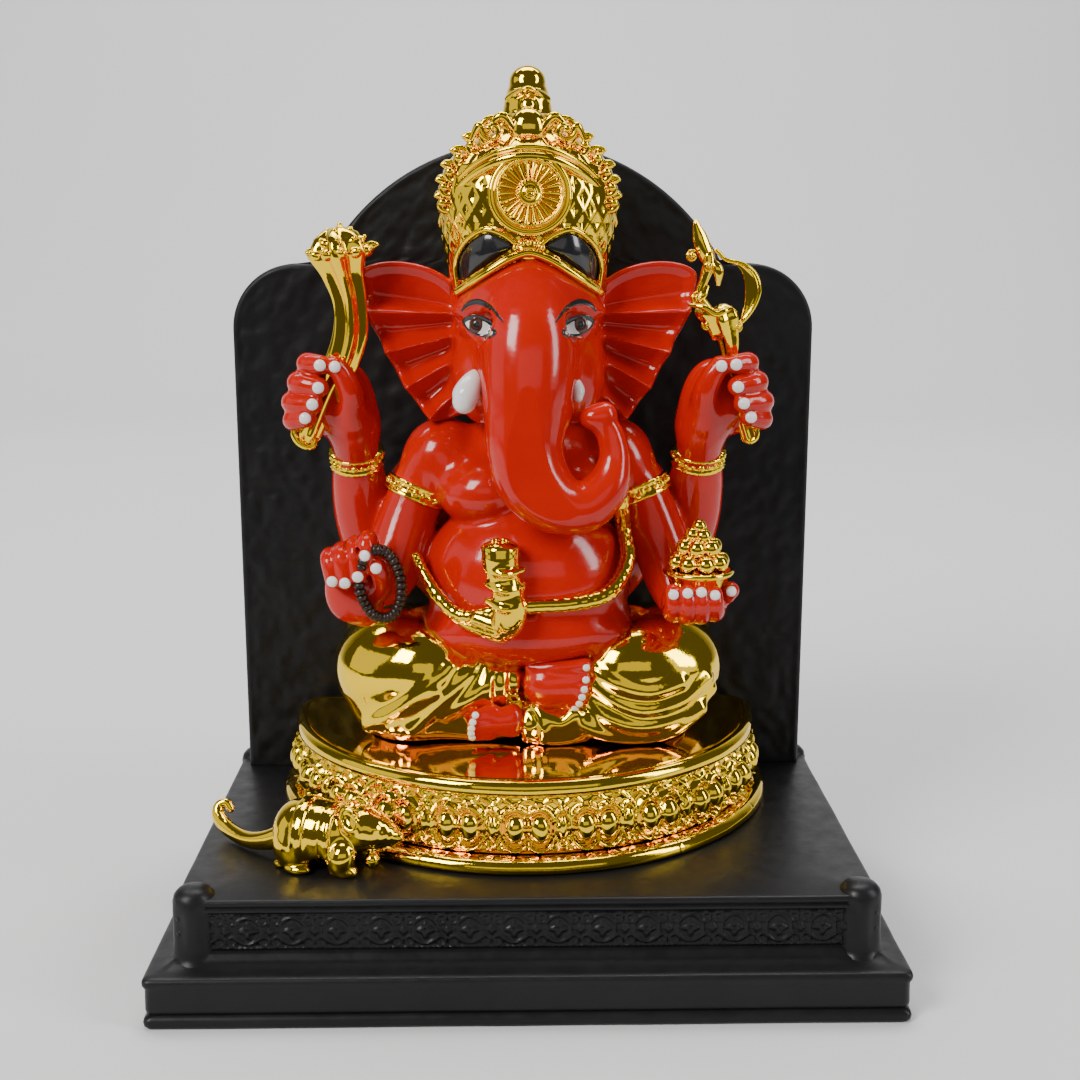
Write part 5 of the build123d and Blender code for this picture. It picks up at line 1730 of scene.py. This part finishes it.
def mouse_straps(clay):
    """Two cords and a wider band between them, round the body in two places."""
    turn = np.linspace(0, 2 * math.pi, 30)
    for x, reach in ((-2.8, 7.55), (3.4, 6.75)):
        for offset, inset, radius, blend in ((-1, 0, 0.32, 0.35), (1, 0, 0.32, 0.35), (0, 0.1, 0.5, 1)):
            y, z = (reach - inset) * np.cos(turn), 0.1 + (reach - inset) * np.sin(turn)
            hoop = np.column_stack([np.full(30, x + offset), y, z, np.full(30, radius)])
            clay.press(rope(hoop, 1.2), blend)


def mouse():
    """A mouse holding a sweet, turned to the pedestal, with its tail curled behind it."""
    clay = Clay((-27, -12, -9.5), (23, 20, 12), 0.26)
    mouse_body(clay)
    mouse_head(clay)
    clay.press(egg((12.6, -1.2, -4.4), (1.7, 1.9, 1.9)), 0.8)
    mouse_straps(clay)
    middle_z = 33.2
    clay.keep_above(plinth_high[2] - middle_z)
    shape = clay.skin(4)
    turn = math.radians(-18)
    spin = np.array(((math.cos(turn), math.sin(turn), 0), (-math.sin(turn), math.cos(turn), 0), (0, 0, 1)))
    low, high = box("mouse_body")
    place = np.array(((low[0] + high[0]) / 2 + 1.4, (low[1] + high[1]) / 2, middle_z))
    shape.points = [p @ spin + place for p in shape.points]
    tail = [
        (-53.6, -25.6, 31.8, 2.8), (-58.4, -23.4, 29.6, 2.3), (-62.8, -20.2, 28.3, 2),
        (-66.6, -16.4, 28.2, 1.9), (-69.8, -12.8, 29, 1.8), (-71.6, -10.8, 30.8, 1.5),
        (-71.4, -9.8, 32.6, 1.2), (-69.8, -9.8, 33.2, 1.1), (-68.8, -10.4, 32, 0.9),
    ]
    shape.tube(curve(tail, 60), sides=18, flat=0.8)
    nodes = [f"mouse_{part}" for part in ("body", "bands", "head", "tail", "feet")]
    piece("gold_mouse", shape, GOLD, nodes)


pedestal_line = d_line(0.4)
for course in (foot_moulding, lotus_band, top_moulding):
    course(pedestal_line)
mirror_top()
plinth()
corner_posts()
backdrop()
mouse()


# ---- the CAD nodes that stay as they are ----
def finish_nodes(surface, *names):
    for name in names:
        node = frame["nodes"][name]
        node.data.materials.clear()
        node.data.materials.append(surface)


finish_nodes(BOARD, "bottom_board")
finish_nodes(FELT, "base_felt")
finish_nodes(STEEL, "board_screws", "panel_screws", "figure_dowels", "neck_dowel", "pedestal_dowels")
finish_nodes(GOLD, "pedestal_drum")


# ---- floor, light and camera ----
def studio():
    """A pale floor that sweeps up into a wall behind the idol."""
    paint = Paint("pale_sweep", Specular_IOR_Level=0.2)
    paint.feed("Base Color", paint.mixed(paint.noise(3, 3), (0.60, 0.60, 0.60), (0.66, 0.655, 0.65)))
    paint.feed("Roughness", paint.ranged(paint.noise(60, 3), 0.2, 0.8, 0.75, 0.9))
    near, far, wall, half, bend = -260.0, 1000, 2600.0, 2600.0, 500
    turn = np.radians(np.linspace(0, 90, 13))
    line = [(near, 0.0)] + [(far + bend * math.sin(a), bend - bend * math.cos(a)) for a in turn]
    line.append((far + bend, wall))
    rows = [[(x, y, z) for x in (-half, half)] for y, z in line]
    sweep = Shape().skin(rows, round_rows=False, ends=False)
    mesh = bpy.data.meshes.new("sweep")
    mesh.from_pydata((np.vstack(sweep.points) / MM).tolist(), [], sweep.faces)
    mesh.shade_smooth()
    mesh.materials.append(paint.material)
    obj = bpy.data.objects.new("sweep", mesh)
    bpy.context.scene.collection.objects.link(obj)


def light(name, place, aim, size, power, colour=(1, 1, 1)):
    lamp = bpy.data.lights.new(name, "AREA")
    lamp.shape, lamp.size, lamp.size_y = "RECTANGLE", size[0], size[1]
    lamp.energy, lamp.color = power, colour
    obj = bpy.data.objects.new(name, lamp)
    obj.location = place
    obj.rotation_euler = (Vector(aim) - Vector(place)).to_track_quat("-Z", "Y").to_euler()
    bpy.context.scene.collection.objects.link(obj)


def sky(strength, colour):
    world = bpy.data.worlds.new("room")
    world.use_nodes = True
    world.node_tree.nodes["Background"].inputs[0].default_value = (*colour, 1)
    world.node_tree.nodes["Background"].inputs[1].default_value = strength
    bpy.context.scene.world = world


studio()
# The windows and the ceiling are what the plating mirrors; the fills lift its darker sides.
light("window_left", (-0.75, -0.75, 0.85), (0, 0, 0.1), (0.45, 0.6), 19, (1.0, 0.98, 0.95))
light("window_right", (0.95, -0.35, 0.6), (0, 0, 0.1), (0.25, 0.8), 7, (0.95, 0.98, 1.0))
light("ceiling", (0.0, 0.3, 1.5), (0, 0.2, 0.1), (1.0, 0.5), 13)
light("wall_wash", (0.0, 0.55, 1.3), (0, 1.4, 0.3), (2.0, 0.4), 22)
light("fill_front", (0.1, -1.3, 0.45), (0, 0, 0.1), (1.5, 0.5), 1.5, (1.0, 0.98, 0.94))
light("fill_left", (-1.3, -0.2, 0.45), (0, 0, 0.1), (0.9, 0.8), 1.7, (1.0, 0.98, 0.95))
light("fill_right", (1.3, -0.5, 0.35), (0, 0, 0.1), (0.5, 0.6), 0.9, (1.0, 0.98, 0.95))
sky(0.11, (0.82, 0.84, 0.88))

camera = bpy.data.objects.new("camera", bpy.data.cameras.new("camera"))
camera.data.lens, camera.data.sensor_width = 51.6, 36
camera.data.clip_start = 0.01
camera.location = (-0.0036, -0.3514, 0.166)
look_down, look_right = 11.68, 1.13
camera.rotation_euler = (math.radians(90 - look_down), 0, math.radians(-look_right))
bpy.context.scene.collection.objects.link(camera)
bpy.context.scene.camera = camera
